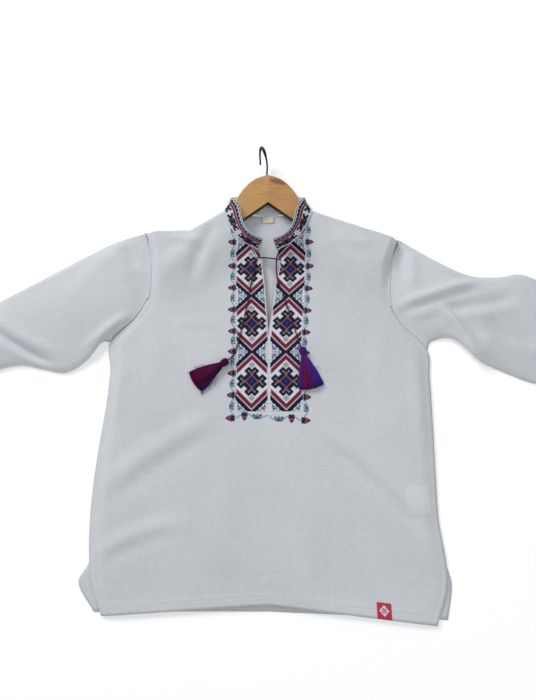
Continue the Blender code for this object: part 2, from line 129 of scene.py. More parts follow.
# Right half of the hanger: its lower edge, its tip and its upper edge: x, y.
HANGER_LOW = ((0.000, 0.317), (0.037, 0.288), (0.070, 0.263), (0.105, 0.243), (0.150, 0.223))
HANGER_END = ((0.167, 0.2205), (0.1725, 0.228), (0.168, 0.237))
HANGER_TOP = (
    (0.130, 0.255), (0.100, 0.268), (0.0760, 0.2820), (0.0570, 0.3050),
    (0.0490, 0.3270), (0.0370, 0.3460), (0.0200, 0.3615), (0.0000, 0.3690),
)
HOOK_X = -0.0018
HOOK_LEAN = math.radians(70)  # from flat on the floor
HOOK_ROUTE = (            # along the stem, out from the stem
    (0.0004, 0.0000), (0.0070, 0.0000), (0.0140, -0.0010), (0.0220, -0.0015),
    (0.0310, 0.0010), (0.0385, 0.0075), (0.0425, 0.0165), (0.0400, 0.0255),
    (0.0320, 0.0315), (0.0215, 0.0335), (0.0110, 0.0325), (0.0030, 0.0310),
)

# Lace over the cloth: x, y, clearance above the front.
LACE_BAR = ((-0.0172, 0.2186, 0.0008), (-0.0075, 0.2170, 0.0030),
            (0.0085, 0.2150, 0.0036), (0.0212, 0.2142, 0.0008))
LACE_LEFT = (
    (-0.0176, 0.2158, 0.0006), (-0.0196, 0.2080, 0.0006), (-0.0220, 0.1940, 0.0006),
    (-0.0252, 0.1790, 0.0006), (-0.0286, 0.1620, 0.0006), (-0.0312, 0.1420, 0.0006),
    (-0.0352, 0.1220, 0.0006), (-0.0412, 0.0930, 0.0006), (-0.0466, 0.0700, 0.0006),
    (-0.0538, 0.0532, 0.0010), (-0.0612, 0.0458, 0.0016),
)
LACE_RIGHT = (
    (0.0172, 0.2268, 0.0006), (0.0146, 0.2205, 0.0003), (0.0134, 0.2100, -0.0012),
    (0.0133, 0.1970, -0.0010), (0.0144, 0.1860, 0.0006), (0.0168, 0.1730, 0.0006),
    (0.0232, 0.1570, 0.0006), (0.0300, 0.1330, 0.0006), (0.0400, 0.1000, 0.0006),
    (0.0476, 0.0740, 0.0010), (0.0510, 0.0650, 0.0016),
)
# Tassels: head x, y, skirt end x, y, half width of the skirt's end.
TASSEL_LEFT = (-0.0627, 0.0441, -0.1080, 0.0130, 0.0175)
TASSEL_RIGHT = (0.0519, 0.0631, 0.0640, 0.0080, 0.0185)
CARE_LABEL = (0.2100, -0.1560, 0.0340, 0.0360)  # middle x, y, width, length
TAB = (0.1540, 0.0190, 0.0200)                  # middle x, width, length

# --- the shell's own sizes -------------------------------------------------
LINEN = 0.0006            # thickness of the linen itself
SIDE_ROLL = 0.022         # how far in from its side seam the front levels out
HEM_DEPTH = 0.0140
HEM_STEP = 0.0007         # the hem's second layer
HEM_EDGE = 0.0012         # the step's own width
COLLAR_WALL = 0.0010
LABEL_STEP = 0.0005       # the side label felt through the front
LABEL_EDGE = 0.0020
FLOOR_AIR = 0.0002        # under the lowest cloth
EASE_FOOT = -0.30         # from here the air under the front grows,
EASE_RISE = 0.10          # over this height
ARM_TIP_X = 0.172         # the hanger's arms end here
ARM_TAPER = 0.03
ARM_AIR = 0.0012          # between an arm and the front over it
ARM_EASE = 0.004          # the front starts to fall this far below an arm,
ARM_DRAPE = 0.085         # and lies on the back this much lower
ARM_INSET = 0.017         # it also falls this near a side seam
ARM_LIFT = 0.0060         # the shoulder seam's rise over an arm
SHOULDER_ROLL = 0.009     # the front turns down to the shoulder seam in this width
FRONT_CURVE_FROM = 0.80   # share of the height from which rows bend to the shoulder
BACK_CURVE_FROM = 0.75
BACK_RISE_X = 0.06        # the back's shoulders rise with the arms from here,
BACK_RISE_RUN = 0.02      # over this width,
BACK_ROLL = 0.010         # and this far below the shoulder seam
CREASE_FADE = 0.02        # creases die out this near an edge
CREASE_TAPER = 0.3        # share of a crease's length in which each end fades
CREASE_REACH = 3.5        # half widths past which a crease has no effect
# Lift of a sleeve's lower edge: where along it, over what reach, height.
UNDERARM_LIFT = {-1: (0.150, 0.120, 0.0060), 1: (0.345, 0.085, 0.0130)}
SLEEVE_SEAM = 0.0004      # a sleeve starts this far outside the armhole
SLEEVE_EASE = 2.2         # rows over which a sleeve takes the armhole's curve
CUFF_FROM = 0.972         # share of a sleeve's length where its hem begins
CUFF_STEP = 0.0004
SLEEVE_FOLD = 0.03        # share of a sleeve's width in which its edge turns under
SLEEVE_FULLNESS = 0.6     # less is a boxier tube

# Creases, listed: from x, y to x, y, half width, height, sideways bow.
FRONT_CREASES = (
    (-0.060, -0.030, -0.246, -0.152, 0.015, 0.0026, 0.008),
    (-0.056, -0.052, -0.240, -0.175, 0.013, -0.0018, 0.008),
    (-0.092, -0.184, -0.246, -0.236, 0.011, 0.0021, 0.012),
    (-0.120, -0.200, -0.232, -0.246, 0.009, -0.0014, 0.008),
    (0.056, -0.052, 0.242, -0.236, 0.011, -0.0034, -0.006),
    (0.070, -0.046, 0.240, -0.205, 0.012, 0.0030, -0.006),
    (0.080, -0.105, 0.118, -0.160, 0.008, 0.0012, 0.0),
    (0.196, -0.178, 0.243, -0.236, 0.007, 0.0020, 0.0),
    (-0.078, 0.285, -0.126, 0.170, 0.010, -0.0026, 0.006),
    (-0.082, 0.245, -0.104, 0.160, 0.011, 0.0014, 0.004),
    (-0.095, 0.262, -0.172, 0.170, 0.013, 0.0018, 0.010),
    (-0.172, 0.252, -0.090, 0.236, 0.009, 0.0018, -0.004),
    (0.100, 0.258, 0.170, 0.236, 0.010, 0.0020, 0.004),
    (0.085, 0.240, 0.130, 0.150, 0.014, -0.0015, -0.008),
    (-0.150, 0.108, -0.070, 0.106, 0.008, 0.0009, 0.0),
    (-0.215, 0.060, -0.226, -0.060, 0.010, 0.0014, 0.004),
    (0.214, 0.070, 0.222, -0.080, 0.012, 0.0016, -0.006),
    (0.180, 0.110, 0.160, -0.010, 0.015, 0.0012, 0.004),
    (-0.180, 0.120, -0.165, 0.000, 0.015, 0.0010, -0.004),
    (-0.060, -0.120, -0.050, -0.270, 0.016, 0.0012, 0.006),
    (0.040, -0.150, 0.060, -0.280, 0.018, 0.0010, -0.005),
)
SLEEVE_CREASES_LEFT = (
    (-0.450, 0.116, -0.312, 0.036, 0.006, -0.0046, 0.006),
    (-0.446, 0.128, -0.305, 0.050, 0.009, 0.0034, 0.006),
    (-0.205, 0.128, -0.290, 0.052, 0.007, 0.0016, 0.004),
    (-0.208, 0.198, -0.240, 0.240, 0.009, -0.0030, 0.004),
    (-0.214, 0.176, -0.262, 0.226, 0.010, 0.0016, 0.006),
    (-0.216, 0.245, -0.300, 0.160, 0.016, 0.0018, 0.012),
    (-0.240, 0.215, -0.420, 0.120, 0.018, -0.0015, 0.006),
    (-0.440, 0.098, -0.560, 0.020, 0.012, 0.0022, -0.006),
    (-0.420, 0.070, -0.520, 0.000, 0.008, -0.0020, 0.006),
)
SLEEVE_CREASES_RIGHT = (
    (0.186, 0.128, 0.345, 0.178, 0.008, 0.0060, -0.003),
    (0.246, 0.127, 0.400, 0.154, 0.010, -0.0046, 0.006),
    (0.215, 0.118, 0.272, 0.128, 0.008, 0.0022, 0.000),
    (0.258, 0.140, 0.298, 0.074, 0.006, 0.0050, -0.006),
    (0.275, 0.142, 0.330, 0.070, 0.010, -0.0036, -0.006),
    (0.212, 0.236, 0.222, 0.180, 0.007, -0.0036, 0.004),
    (0.236, 0.236, 0.230, 0.160, 0.009, 0.0030, 0.006),
    (0.250, 0.226, 0.330, 0.186, 0.010, 0.0016, 0.006),
    (0.330, 0.120, 0.420, 0.070, 0.018, -0.0026, 0.010),
    (0.360, 0.080, 0.430, 0.050, 0.012, 0.0024, 0.004),
    (0.420, 0.160, 0.520, 0.080, 0.014, 0.0024, 0.010),
)


# --- small maths -----------------------------------------------------------
def smoothstep(t):
    t = min(max(t, 0.0), 1.0)
    return t * t * (3.0 - 2.0 * t)


def spline(rows, t):
    """Catmull-Rom value of equal-length rows of numbers at t in 0..1."""
    last = len(rows) - 1
    place = min(max(t, 0.0), 1.0) * last
    k = min(int(place), last - 1)
    f = place - k
    p1, p2 = rows[k], rows[k + 1]
    p0 = rows[k - 1] if k > 0 else [2 * a - b for a, b in zip(p1, p2)]
    p3 = rows[k + 2] if k + 2 <= last else [2 * b - a for a, b in zip(p1, p2)]
    return [
        0.5 * (2 * b + (c - a) * f + (2 * a - 5 * b + 4 * c - d) * f * f
               + (3 * b - a - 3 * c + d) * f ** 3)
        for a, b, c, d in zip(p0, p1, p2, p3)
    ]


def curve(rows, count):
    """count + 1 places along the spline through these rows."""
    return [spline(rows, k / count) for k in range(count + 1)]


def along(table, x):
    """Straight interpolation of y over a table of (x, y) with rising x."""
    if x <= table[0][0]:
        return table[0][1]
    for (x0, y0), (x1, y1) in zip(table, table[1:]):
        if x <= x1:
            return y0 + (y1 - y0) * (x - x0) / (x1 - x0)
    return table[-1][1]


EDGE_LEFT = tuple((row[1], row[0]) for row in EDGE_ROWS)
EDGE_RIGHT = tuple((row[3], row[2]) for row in EDGE_ROWS)
NECK_SEAM = tuple((row[0], row[2]) for row in CENTRE_ROWS[NECK_ROW:])
SLIT_LEFT = tuple((row[2], row[0]) for row in CENTRE_ROWS[SLIT_ROW:NECK_ROW + 1])
SLIT_RIGHT = tuple((row[2], row[1]) for row in CENTRE_ROWS[SLIT_ROW:NECK_ROW + 1])


# --- the shape of the laid cloth -------------------------------------------
def edge_x(side, y):
    """The side seam's x at height y; a side is -1 for left and 1 for right."""
    return along(EDGE_LEFT if side < 0 else EDGE_RIGHT, y)


def edge_z(side, y):
    """Underside of the front at its side seam, arched over the armhole."""
    column = 1 if side < 0 else 3
    low, high = EDGE_ROWS[UNDERARM_ROW][column], EDGE_ROWS[-1][column]
    open_part = min(max((y - low) / (high - low), 0.0), 1.0)
    return CLOTH + GAP + ARMHOLE_RISE * math.sin(math.pi * open_part)


def shoulder_z(x):
    """Underside of the front at the shoulder seam, raised over the hanger."""
    return CLOTH + GAP + ARM_LIFT * smoothstep((ARM_TIP_X - abs(x)) / ARM_TAPER)


def front_z(x, y):
    """Underside of the front's wall in the frame."""
    side = -1 if x < 0 else 1
    inset = abs(edge_x(side, y)) - abs(x)
    air = HEM_AIR + (AIR - HEM_AIR) * smoothstep((y - EASE_FOOT) / EASE_RISE)
    z = edge_z(side, y)
    z += (CLOTH + GAP + air - z) * smoothstep(inset / SIDE_ROLL)
    below_arm = along(HANGER_LOW, abs(x)) - y
    over_arm = smoothstep(1.0 - (below_arm - ARM_EASE) / ARM_DRAPE) * smoothstep(inset / ARM_INSET)
    z += (HANGER_Z + HANGER_THICK + ARM_AIR - z) * over_arm
    seam = shoulder_z(x)
    return seam + (z - seam) * smoothstep((along(SHOULDER, x) - y) / SHOULDER_ROLL + 0.02)


def crease(x, y, table):
    """Height added by the soft ridges and troughs of a crease table."""
    total = 0.0
    for x0, y0, x1, y1, width, height, bow in table:
        run_x, run_y = x1 - x0, y1 - y0
        length = math.hypot(run_x, run_y)
        t = ((x - x0) * run_x + (y - y0) * run_y) / length ** 2
        if t <= 0.0 or t >= 1.0:
            continue
        aside = ((x - x0) * run_y - (y - y0) * run_x) / length - 4 * bow * t * (1 - t)
        if abs(aside) > CREASE_REACH * width:
            continue
        ends = smoothstep(min(t, 1.0 - t) / CREASE_TAPER)
        ridge = math.exp(-(aside / width) ** 2)
        hollow = 0.35 * math.exp(-((aside - 1.7 * width) / width) ** 2)
        total += height * ends * (ridge - hollow)
    return total


def hem_y(x):
    """Lower edge of the front."""
    out_x, out_y = EDGE_ROWS[0][:2] if x < 0 else EDGE_ROWS[0][2:]
    return CENTRE_ROWS[0][2] + (out_y - CENTRE_ROWS[0][2]) * x / out_x


def cloth_top(x, y):
    """Upper surface of the finished front."""
    side = -1 if x < 0 else 1
    inset = abs(edge_x(side, y)) - abs(x)
    fade = smoothstep(inset / CREASE_FADE) * smoothstep((y - hem_y(x)) / CREASE_FADE)
    fade *= smoothstep((along(SHOULDER, x) - y) / CREASE_FADE)
    wave = crease(x, y, FRONT_CREASES) * fade
    step = HEM_STEP * smoothstep((HEM_DEPTH - (y - hem_y(x))) / HEM_EDGE)
    label_x, label_y, width, length = CARE_LABEL
    inside = min(width / 2 - abs(x - label_x), length / 2 - abs(y - label_y))
    step += LABEL_STEP * smoothstep(inside / LABEL_EDGE + 0.5)
    return max(front_z(x, y) + CLOTH + wave, 2 * CLOTH) + step


def body_edge(side, v, rows=EDGE_ROWS):
    """Plan position on a side edge, v from the hem to the shoulder."""
    left_x, left_y, right_x, right_y = spline(rows, v)
    return (left_x, left_y) if side < 0 else (right_x, right_y)


def front_plan(u, v, side):
    """Plan position on the front: u from the left edge to the right, v from the hem up."""
    across = abs(2.0 * u - 1.0)
    out_x, out_y = body_edge(side, v)
    left_half, right_half, in_y = spline(CENTRE_ROWS, v)
    half = max(left_half, 0.0) if side < 0 else max(right_half, 0.0)
    if v * (len(CENTRE_ROWS) - 1) <= SLIT_ROW:
        half = 0.0
    in_x = side * half
    x = in_x + (out_x - in_x) * across
    y = in_y + (out_y - in_y) * across
    if v == 1.0:
        y = along(SHOULDER, x)
    elif v > FRONT_CURVE_FROM:
        chord = NECK_Y + (out_y - NECK_Y) * across
        y += (along(SHOULDER, x) - chord) * smoothstep((v - FRONT_CURVE_FROM) / (1.0 - FRONT_CURVE_FROM))
    return x, y


def back_place(u, v):
    """Upper face of the back, which lies flat on the floor."""
    side = -1 if u < 0.5 else 1
    across = abs(2.0 * u - 1.0)
    out_x, out_y = body_edge(side, v, BACK_SLIT_ROWS + EDGE_ROWS[2:])
    in_y = BACK_HEM_Y + (BACK_NECK_Y - BACK_HEM_Y) * v
    x = out_x * across
    y = in_y + (out_y - in_y) * across
    if v > BACK_CURVE_FROM:
        top = BACK_NECK_Y + (NECK_Y - BACK_NECK_Y) * min(abs(x) / NECK_X, 1.0) ** 2
        if abs(x) > NECK_X:
            top = along(SHOULDER, x)
        chord = BACK_NECK_Y + (EDGE_ROWS[-1][1 if side < 0 else 3] - BACK_NECK_Y) * across
        y += (top - chord) * smoothstep((v - BACK_CURVE_FROM) / (1.0 - BACK_CURVE_FROM))
    rise = (shoulder_z(x) - CLOTH - 2 * GAP) * smoothstep((abs(x) - BACK_RISE_X) / BACK_RISE_RUN)
    rise *= smoothstep(1.0 - (along(SHOULDER, x) - y) / BACK_ROLL)
    return Vector((x, y, rise + FLOOR_AIR))


def underarm_lift(side, v, down):
    """How far a sleeve's lower edge stands off the floor beside the underarm."""
    centre, reach, height = UNDERARM_LIFT[side]
    return height * math.exp(-((v - centre) / reach) ** 2) * smoothstep((down - 0.70) / 0.30)


def sleeve_place(table, side, creases, u, v):
    """Outer surface of a sleeve: u goes round it from the upper edge, v along it."""
    up_x, up_y, low_x, low_y, height = spline(table, v)
    down = 1.0 - abs(2.0 * u - 1.0)
    x = up_x + (low_x - up_x) * down
    y = up_y + (low_y - up_y) * down
    row = v * (len(table) - 1)
    at_armhole = smoothstep(1.0 - row / SLEEVE_EASE)
    hole = UNDERARM_ROW / (len(EDGE_ROWS) - 1)
    hole_x, hole_y = body_edge(side, 1.0 - (1.0 - hole) * down)
    top_x, top_y = body_edge(side, 1.0)
    foot_x, foot_y = body_edge(side, hole)
    x += (hole_x - (top_x + (foot_x - top_x) * down)) * at_armhole
    y += (hole_y - (top_y + (foot_y - top_y) * down)) * at_armhole
    x += side * SLEEVE_SEAM
    on_top = (u < 0.5) == (side < 0)
    inside = min(down, 1.0 - down)
    edge = smoothstep(inside / SLEEVE_FOLD)
    z = FOLD_Z * (1.0 - edge) + FLOOR_AIR
    if on_top:
        seam_top = edge_z(side, hole_y) + CLOTH
        full = height * (4.0 * down * (1.0 - down)) ** SLEEVE_FULLNESS + 2 * CLOTH + GAP
        full += (seam_top - full) * smoothstep(1.0 - row)
        fade = smoothstep(row / 0.25) * smoothstep(inside / 0.1)
        full += crease(x, y, creases) * fade
        full += CUFF_STEP * smoothstep((v - CUFF_FROM) / 0.004)
        z = FOLD_Z + (max(full, 2.5 * CLOTH) - FOLD_Z) * math.sqrt(edge)
    return Vector((x, y, z + underarm_lift(side, v, down)))


def collar_place(u, v):
    """Outer face of the collar: u from its left end round to its right end, v upward."""
    side = -1 if u < 0.5 else 1
    row = 1.0 - abs(2 * u - 1.0)
    seam_x, seam_y, top_x, top_y, top_z = spline(COLLAR_ROWS, row)
    on_back = smoothstep(row * (len(COLLAR_ROWS) - 1) - COLLAR_LAPPED + 1.0)
    front_seam = front_z(side * seam_x, seam_y) + CLOTH + 2 * GAP
    seam_z = front_seam + (CLOTH + GAP - front_seam) * on_back
    low = Vector((side * seam_x, seam_y, seam_z))
    high = Vector((side * top_x, top_y, max(top_z, CLOTH + GAP)))
    return low.lerp(high, v)


# --- shader maths ------------------------------------------------------------
class Value:
    """A socket's value, so that shader maths reads as an expression."""

    def __init__(self, finish, socket):
        self.finish = finish
        self.socket = socket

    def _math(self, operation, *others):
        return self.finish.node("ShaderNodeMath", {"operation": operation},
                                dict(enumerate((self,) + others)))

    def __add__(self, other):
        return self._math("ADD", other)

    def __sub__(self, other):
        return self._math("SUBTRACT", other)

    def __rsub__(self, other):
        return self.finish.node("ShaderNodeMath", {"operation": "SUBTRACT"}, {0: other, 1: self})

    def __mul__(self, other):
        return self._math("MULTIPLY", other)

    __radd__ = __add__
    __rmul__ = __mul__

    def sine(self):
        return self._math("SINE")

    def size(self):
        return self._math("ABSOLUTE")

    def power(self, exponent):
        return self._math("POWER", exponent)

    def ramp(self, low, high):
        """0 below low, 1 above high, smooth between."""
        return self.finish.node(
            "ShaderNodeMapRange", {"interpolation_type": "SMOOTHSTEP"},
            {"Value": self, "From Min": low, "From Max": high})


class Finish:
    """One material and the nodes that feed its Principled shader."""

    def __init__(self, name, **constants):
        self.material = bpy.data.materials.new(name)
        self.material.use_nodes = True
        self.tree = self.material.node_tree
        self.shader = self.tree.nodes["Principled BSDF"]
        for socket, value in constants.items():
            self.shader.inputs[socket.replace("_", " ")].default_value = value

    def node(self, kind, settings=None, inputs=None, output=0):
        """Adds a node: its settings first, then the values or links of its sockets."""
        node = self.tree.nodes.new(kind)
        for key, value in (settings or {}).items():
            if key == "stops":
                while len(node.color_ramp.elements) < len(value):
                    node.color_ramp.elements.new(0.5)
                for element, (place, colour) in zip(node.color_ramp.elements, value):
                    element.position = place
                    element.color = (*colour, 1.0)
            else:
                setattr(node, key, value)
        for key, value in (inputs or {}).items():
            if isinstance(value, Value):
                self.tree.links.new(value.socket, node.inputs[key])
            else:
                node.inputs[key].default_value = value
        return Value(self, node.outputs[output])

    def place(self, turn=0.0, scale=(1.0, 1.0, 1.0)):
        """Object coordinates, turned about Z and then scaled."""
        coords = self.node("ShaderNodeTexCoord", output=3)
        return self.node("ShaderNodeMapping", {}, {
            "Vector": coords, "Rotation": (0.0, 0.0, turn), "Scale": scale})

    def axes(self, vector):
        split = self.node("ShaderNodeSeparateXYZ", {}, {"Vector": vector})
        outputs = split.socket.node.outputs
        return [Value(self, outputs[k]) for k in range(3)]

    def noise(self, vector, scale, detail=2.0, roughness=0.5):
        return self.node("ShaderNodeTexNoise", {}, {
            "Vector": vector, "Scale": scale, "Detail": detail, "Roughness": roughness})

    def mix(self, factor, first, second):
        """Colour mix; first and second are colours or values."""
        node = self.tree.nodes.new("ShaderNodeMix")
        node.data_type = "RGBA"
        for key, value in ((0, factor), (6, first), (7, second)):
            if isinstance(value, Value):
                self.tree.links.new(value.socket, node.inputs[key])
            else:
                node.inputs[key].default_value = value if key == 0 else (*value, 1.0)
        return Value(self, node.outputs[2])

    def colour(self, value):
        self.tree.links.new(value.socket, self.shader.inputs["Base Color"])

    def roughness(self, value):
        self.tree.links.new(value.socket, self.shader.inputs["Roughness"])

    def bump(self, height, distance, strength=1.0):
        bumped = self.node("ShaderNodeBump", {}, {
            "Height": height, "Distance": distance, "Strength": strength})
        self.tree.links.new(bumped.socket, self.shader.inputs["Normal"])


LINEN_PITCH = 0.00062     # from one thread of the cloth to the next
FLOSS_PITCH = 0.0004
RIB_PITCH = 0.0006        # of the woven tab


def linen_finish(name, colour, turn=0.0, patch=None):
    """Fine plain-woven linen: crossing threads, slubs, faint unevenness.

    patch is the middle, width and length of a label that shows through.
    """
    finish = Finish(name, Roughness=0.88, Sheen_Weight=0.25, Sheen_Roughness=0.4)
    threads = finish.place(turn)
    x, y, _ = finish.axes(threads)
    thread = 2 * math.pi / LINEN_PITCH
    weave = (x * thread).sine() * (y * thread).sine()
    slub_x = finish.noise(finish.place(turn, (1.0, 14.0, 1.0)), 90.0, 3.0)
    slub_y = finish.noise(finish.place(turn, (14.0, 1.0, 1.0)), 90.0, 3.0)
    cloudy = finish.noise(threads, 9.0, 2.0)
    tint = (slub_x + slub_y) * 0.5 + cloudy * 0.35
    deep = tuple(c * 0.90 for c in colour)
    pale = tuple(min(c * 1.06, 1.0) for c in colour)
    cloth = finish.mix(tint.ramp(0.45, 0.90), deep, pale)
    if patch:
        inside = 1.0
        for axis, middle, size in ((x, patch[0], patch[2]), (y, patch[1], patch[3])):
            reach = (axis - middle).size()
            inside = (1 - reach.ramp(size / 2 - 0.001, size / 2 + 0.001)) * inside
        lit = tuple(min(c * 1.16, 1.0) for c in colour)
        cloth = finish.mix(inside * 0.45, cloth, lit)
    finish.colour(cloth)
    finish.bump(weave * 0.35 + (slub_x + slub_y) * 0.9, 0.00022, 0.7)
    return finish.material


def thread_finish(name, gloss=0.25):
    """Embroidery floss: its colour is painted on the stitches."""
    finish = Finish(name, Roughness=0.6, Specular_IOR_Level=gloss)
    dyed = finish.node("ShaderNodeAttribute", {"attribute_name": "thread"})
    slant = math.radians(45)
    x, _, _ = finish.axes(finish.place(slant))
    fibres = finish.noise(finish.place(slant, (1.0, 9.0, 1.0)), 900.0, 2.0)
    shade = finish.node("ShaderNodeHueSaturation", {}, {
        "Color": dyed, "Value": fibres * 0.6 + 0.68})
    finish.colour(shade)
    finish.bump((x * (2 * math.pi / FLOSS_PITCH)).sine() * 0.5 + fibres, 0.00012, 0.8)
    return finish.material


def cord_finish(name, colour, second):
    """Twisted cotton, blotched between two shades."""
    finish = Finish(name, Roughness=0.6, Specular_IOR_Level=0.3)
    fibres = finish.noise(finish.place(), 1400.0, 2.0)
    blotch = finish.noise(finish.place(), 120.0, 2.0)
    finish.colour(finish.mix((fibres * 0.4 + blotch * 0.6).ramp(0.35, 0.65), colour, second))
    finish.bump(fibres, 0.0001, 0.8)
    return finish.material


def wood_finish(name):
    """Varnished beech: golden, redder to the right of the joint, with one knot there."""
    finish = Finish(name, Coat_Weight=0.25, Coat_Roughness=0.3)
    turn = math.radians(24)
    x, y, _ = finish.axes(finish.place())
    warp = finish.noise(finish.place(), 22.0, 2.0)
    grain = finish.noise(finish.place(turn, (3.0, 20.0, 6.0)), 12.0, 4.0, 0.6)
    fine = finish.noise(finish.place(turn, (6.0, 90.0, 20.0)), 20.0, 3.0)
    tone = grain * 0.55 + warp * 0.35 + fine * 0.10
    red = (x.ramp(-0.0004, 0.0004) * 0.34 + warp.ramp(0.5, 0.75) * 0.35) * 0.9
    gold = finish.node("ShaderNodeValToRGB", {"stops": (
        (0.30, (0.400, 0.190, 0.060)), (0.45, (0.540, 0.290, 0.095)),
        (0.60, (0.620, 0.360, 0.120)), (0.80, (0.680, 0.420, 0.170)),
    )}, {"Fac": tone})
    base = finish.mix(red, gold, (0.420, 0.190, 0.085))
    knot_x, knot_y = 0.017, 0.3598
    across = (x - knot_x) * 55.0
    upward = (y + x * 0.25 - knot_y) * 160.0
    ring = (across * across + upward * upward).power(0.5) + warp * 0.9 + fine * 0.4
    mark = (1 - ring.ramp(1.10, 1.85)) * x.ramp(-0.0004, 0.0006)
    base = finish.mix(mark * 0.85, base, (0.240, 0.075, 0.035))
    finish.colour(base)
    finish.roughness(fine * 0.2 + 0.32)
    finish.bump(fine * 0.6 + grain * 0.3, 0.00012, 0.5)
    return finish.material


def steel_finish(name):
    """Black-coated wire, rubbed a little."""
    finish = Finish(name, Metallic=0.0, Specular_IOR_Level=0.3)
    worn = finish.noise(finish.place(), 260.0, 3.0)
    finish.colour(finish.mix(worn.ramp(0.55, 0.8), (0.004, 0.004, 0.005), (0.018, 0.017, 0.017)))
    finish.roughness(worn * 0.25 + 0.40)
    return finish.material


# --- making meshes -----------------------------------------------------------
def deselect():
    """Leaves nothing selected, as an operator acts on all that is."""
    for item in bpy.context.selected_objects:
        item.select_set(False)


def add_object(name, mesh, finish, smooth=True):
    mesh.materials.append(finish)
    if smooth:
        mesh.shade_smooth()
    item = bpy.data.objects.new(name, mesh)
    bpy.context.scene.collection.objects.link(item)
    return item


def settle(item, slot, node=None):
    """Rides a piece on the body and hides the frame's node it stands for; slot is not used."""
    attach(item, "root")
    if node:
        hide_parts(node)


def mesh_of(name, points, faces):
    mesh = bpy.data.meshes.new(name)
    mesh.from_pydata(points, [], faces)
    mesh.update()
    return mesh


def apply_wall(item, thickness, offset):
    """Gives an open surface its thickness."""
    deselect()
    bpy.context.view_layer.objects.active = item
    item.select_set(True)
    wall = item.modifiers.new("Wall", "SOLIDIFY")
    wall.thickness = thickness
    wall.offset = offset
    wall.use_even_offset = False
    bpy.ops.object.modifier_apply(modifier=wall.name)
    item.select_set(False)


def grid_object(name, columns, rows, place, finish, slit_row=None, closed=False):
    """A cloth surface from a grid; above slit_row its two halves part at u = 0.5."""
    bm = bmesh.new()
    bmesh.ops.create_grid(bm, x_segments=columns, y_segments=rows, size=0.5)
    bmesh.ops.translate(bm, verts=bm.verts, vec=(0.5, 0.5, 0.0))
    if slit_row is not None:
        bmesh.ops.split_edges(bm, edges=[
            edge for edge in bm.edges
            if all(abs(v.co.x - 0.5) < 1e-4 and v.co.y > slit_row - 1e-4 for v in edge.verts)])
    places = []
    for vert in bm.verts:
        middle = sum(f.calc_center_median().x for f in vert.link_faces) / len(vert.link_faces)
        places.append(place(vert.co.x, vert.co.y, -1 if middle < 0.5 else 1))
    for vert, co in zip(bm.verts, places):
        vert.co = co
    if closed:
        bmesh.ops.remove_doubles(bm, verts=bm.verts, dist=1e-6)
        bmesh.ops.recalc_face_normals(bm, faces=bm.faces)
    mesh = bpy.data.meshes.new(name)
    bm.to_mesh(mesh)
    bm.free()
    return add_object(name, mesh, finish)


class Stitches:
    """Collects small faces, each with its own thread colour, into one mesh."""

    def __init__(self):
        self.points = []
        self.faces = []
        self.colours = []

    def add(self, points, faces, colour):
        base = len(self.points)
        self.points.extend(points)
        for face in faces:
            self.faces.append([base + k for k in face])
            self.colours.append(colour)

    def cross(self, corners, rise, colour):
        """One stitch: a small pyramid on its square of cloth."""
        peak = sum(corners, Vector()) / 4 + rise
        self.add(list(corners) + [peak], ((0, 1, 4), (1, 2, 4), (2, 3, 4), (3, 0, 4)), colour)

    def thread(self, path, radius, sides, colour, closed_ends=True):
        """A round thread along a path."""
        points, faces = tube_points(path, radius, sides, closed_ends)
        self.add(points, faces, colour)

    def strip(self, points, colour):
        """Two rows of faces along points given three by three."""
        faces = []
        for a in range(0, len(points) - 3, 3):
            faces += [(a, a + 3, a + 4, a + 1), (a + 1, a + 4, a + 5, a + 2)]
        self.add(points, faces, colour)

    def leaf(self, x, y, angle, length, width, colour, rise=0.0005, steps=5):
        """A satin-stitched petal from (x, y), pointing along angle."""
        points = []
        run = (math.cos(angle), math.sin(angle))
        for k in range(steps + 1):
            t = k / steps
            half = width / 2 * math.sin(math.pi * (0.04 + 0.94 * t)) ** 0.9
            for across in (-1, 0, 1):
                px = x + run[0] * length * t - run[1] * half * across
                py = y + run[1] * length * t + run[0] * half * across
                lift = EDGE_LIFT + (rise * math.sin(math.pi * t) ** 0.5 if across == 0 else 0.0)
                points.append(on_cloth(px, py, lift))
        self.strip(points, colour)

    def ribbon(self, path, width, colour, rise=0.0004):
        """A stem-stitched line: a low ridge along plan points on a surface."""
        points = []
        for co, aside in path:
            points += [co - aside * width / 2, co + Vector((0, 0, rise)), co + aside * width / 2]
        self.strip(points, colour)

    def build(self, name, finish, smooth=False):
        mesh = mesh_of(name, self.points, self.faces)
        dyed = mesh.color_attributes.new("thread", "FLOAT_COLOR", "CORNER")
        flat = []
        for polygon, colour in zip(mesh.polygons, self.colours):
            flat.extend((*colour, 1.0) * polygon.loop_total)
        dyed.data.foreach_set("color", flat)
        return add_object(name, mesh, finish, smooth=smooth)


def on_cloth(x, y, lift):
    """A point this far over the front."""
    return Vector((x, y, cloth_top(x, y) + lift))


# --- embroidery chart ----------------------------------------------------------
CRIMSON = (0.205, 0.016, 0.040)
BRICK = (0.240, 0.050, 0.050)
NAVY = (0.008, 0.010, 0.034)
MAUVE = (0.260, 0.130, 0.190)
CLAY = (0.330, 0.150, 0.150)
BLUSH = (0.740, 0.580, 0.700)
BLUE = (0.011, 0.018, 0.115)
SKY = (0.035, 0.085, 0.270)
STEEL = (0.110, 0.190, 0.310)
TEAL = (0.045, 0.110, 0.170)
VIOLET = (0.150, 0.160, 0.270)
ICE = (0.620, 0.720, 0.860)
GLOW = (0.800, 0.850, 0.950)
WINE = (0.120, 0.009, 0.024)
SAGE = (0.240, 0.330, 0.350)
SNOW = (0.820, 0.820, 0.880)

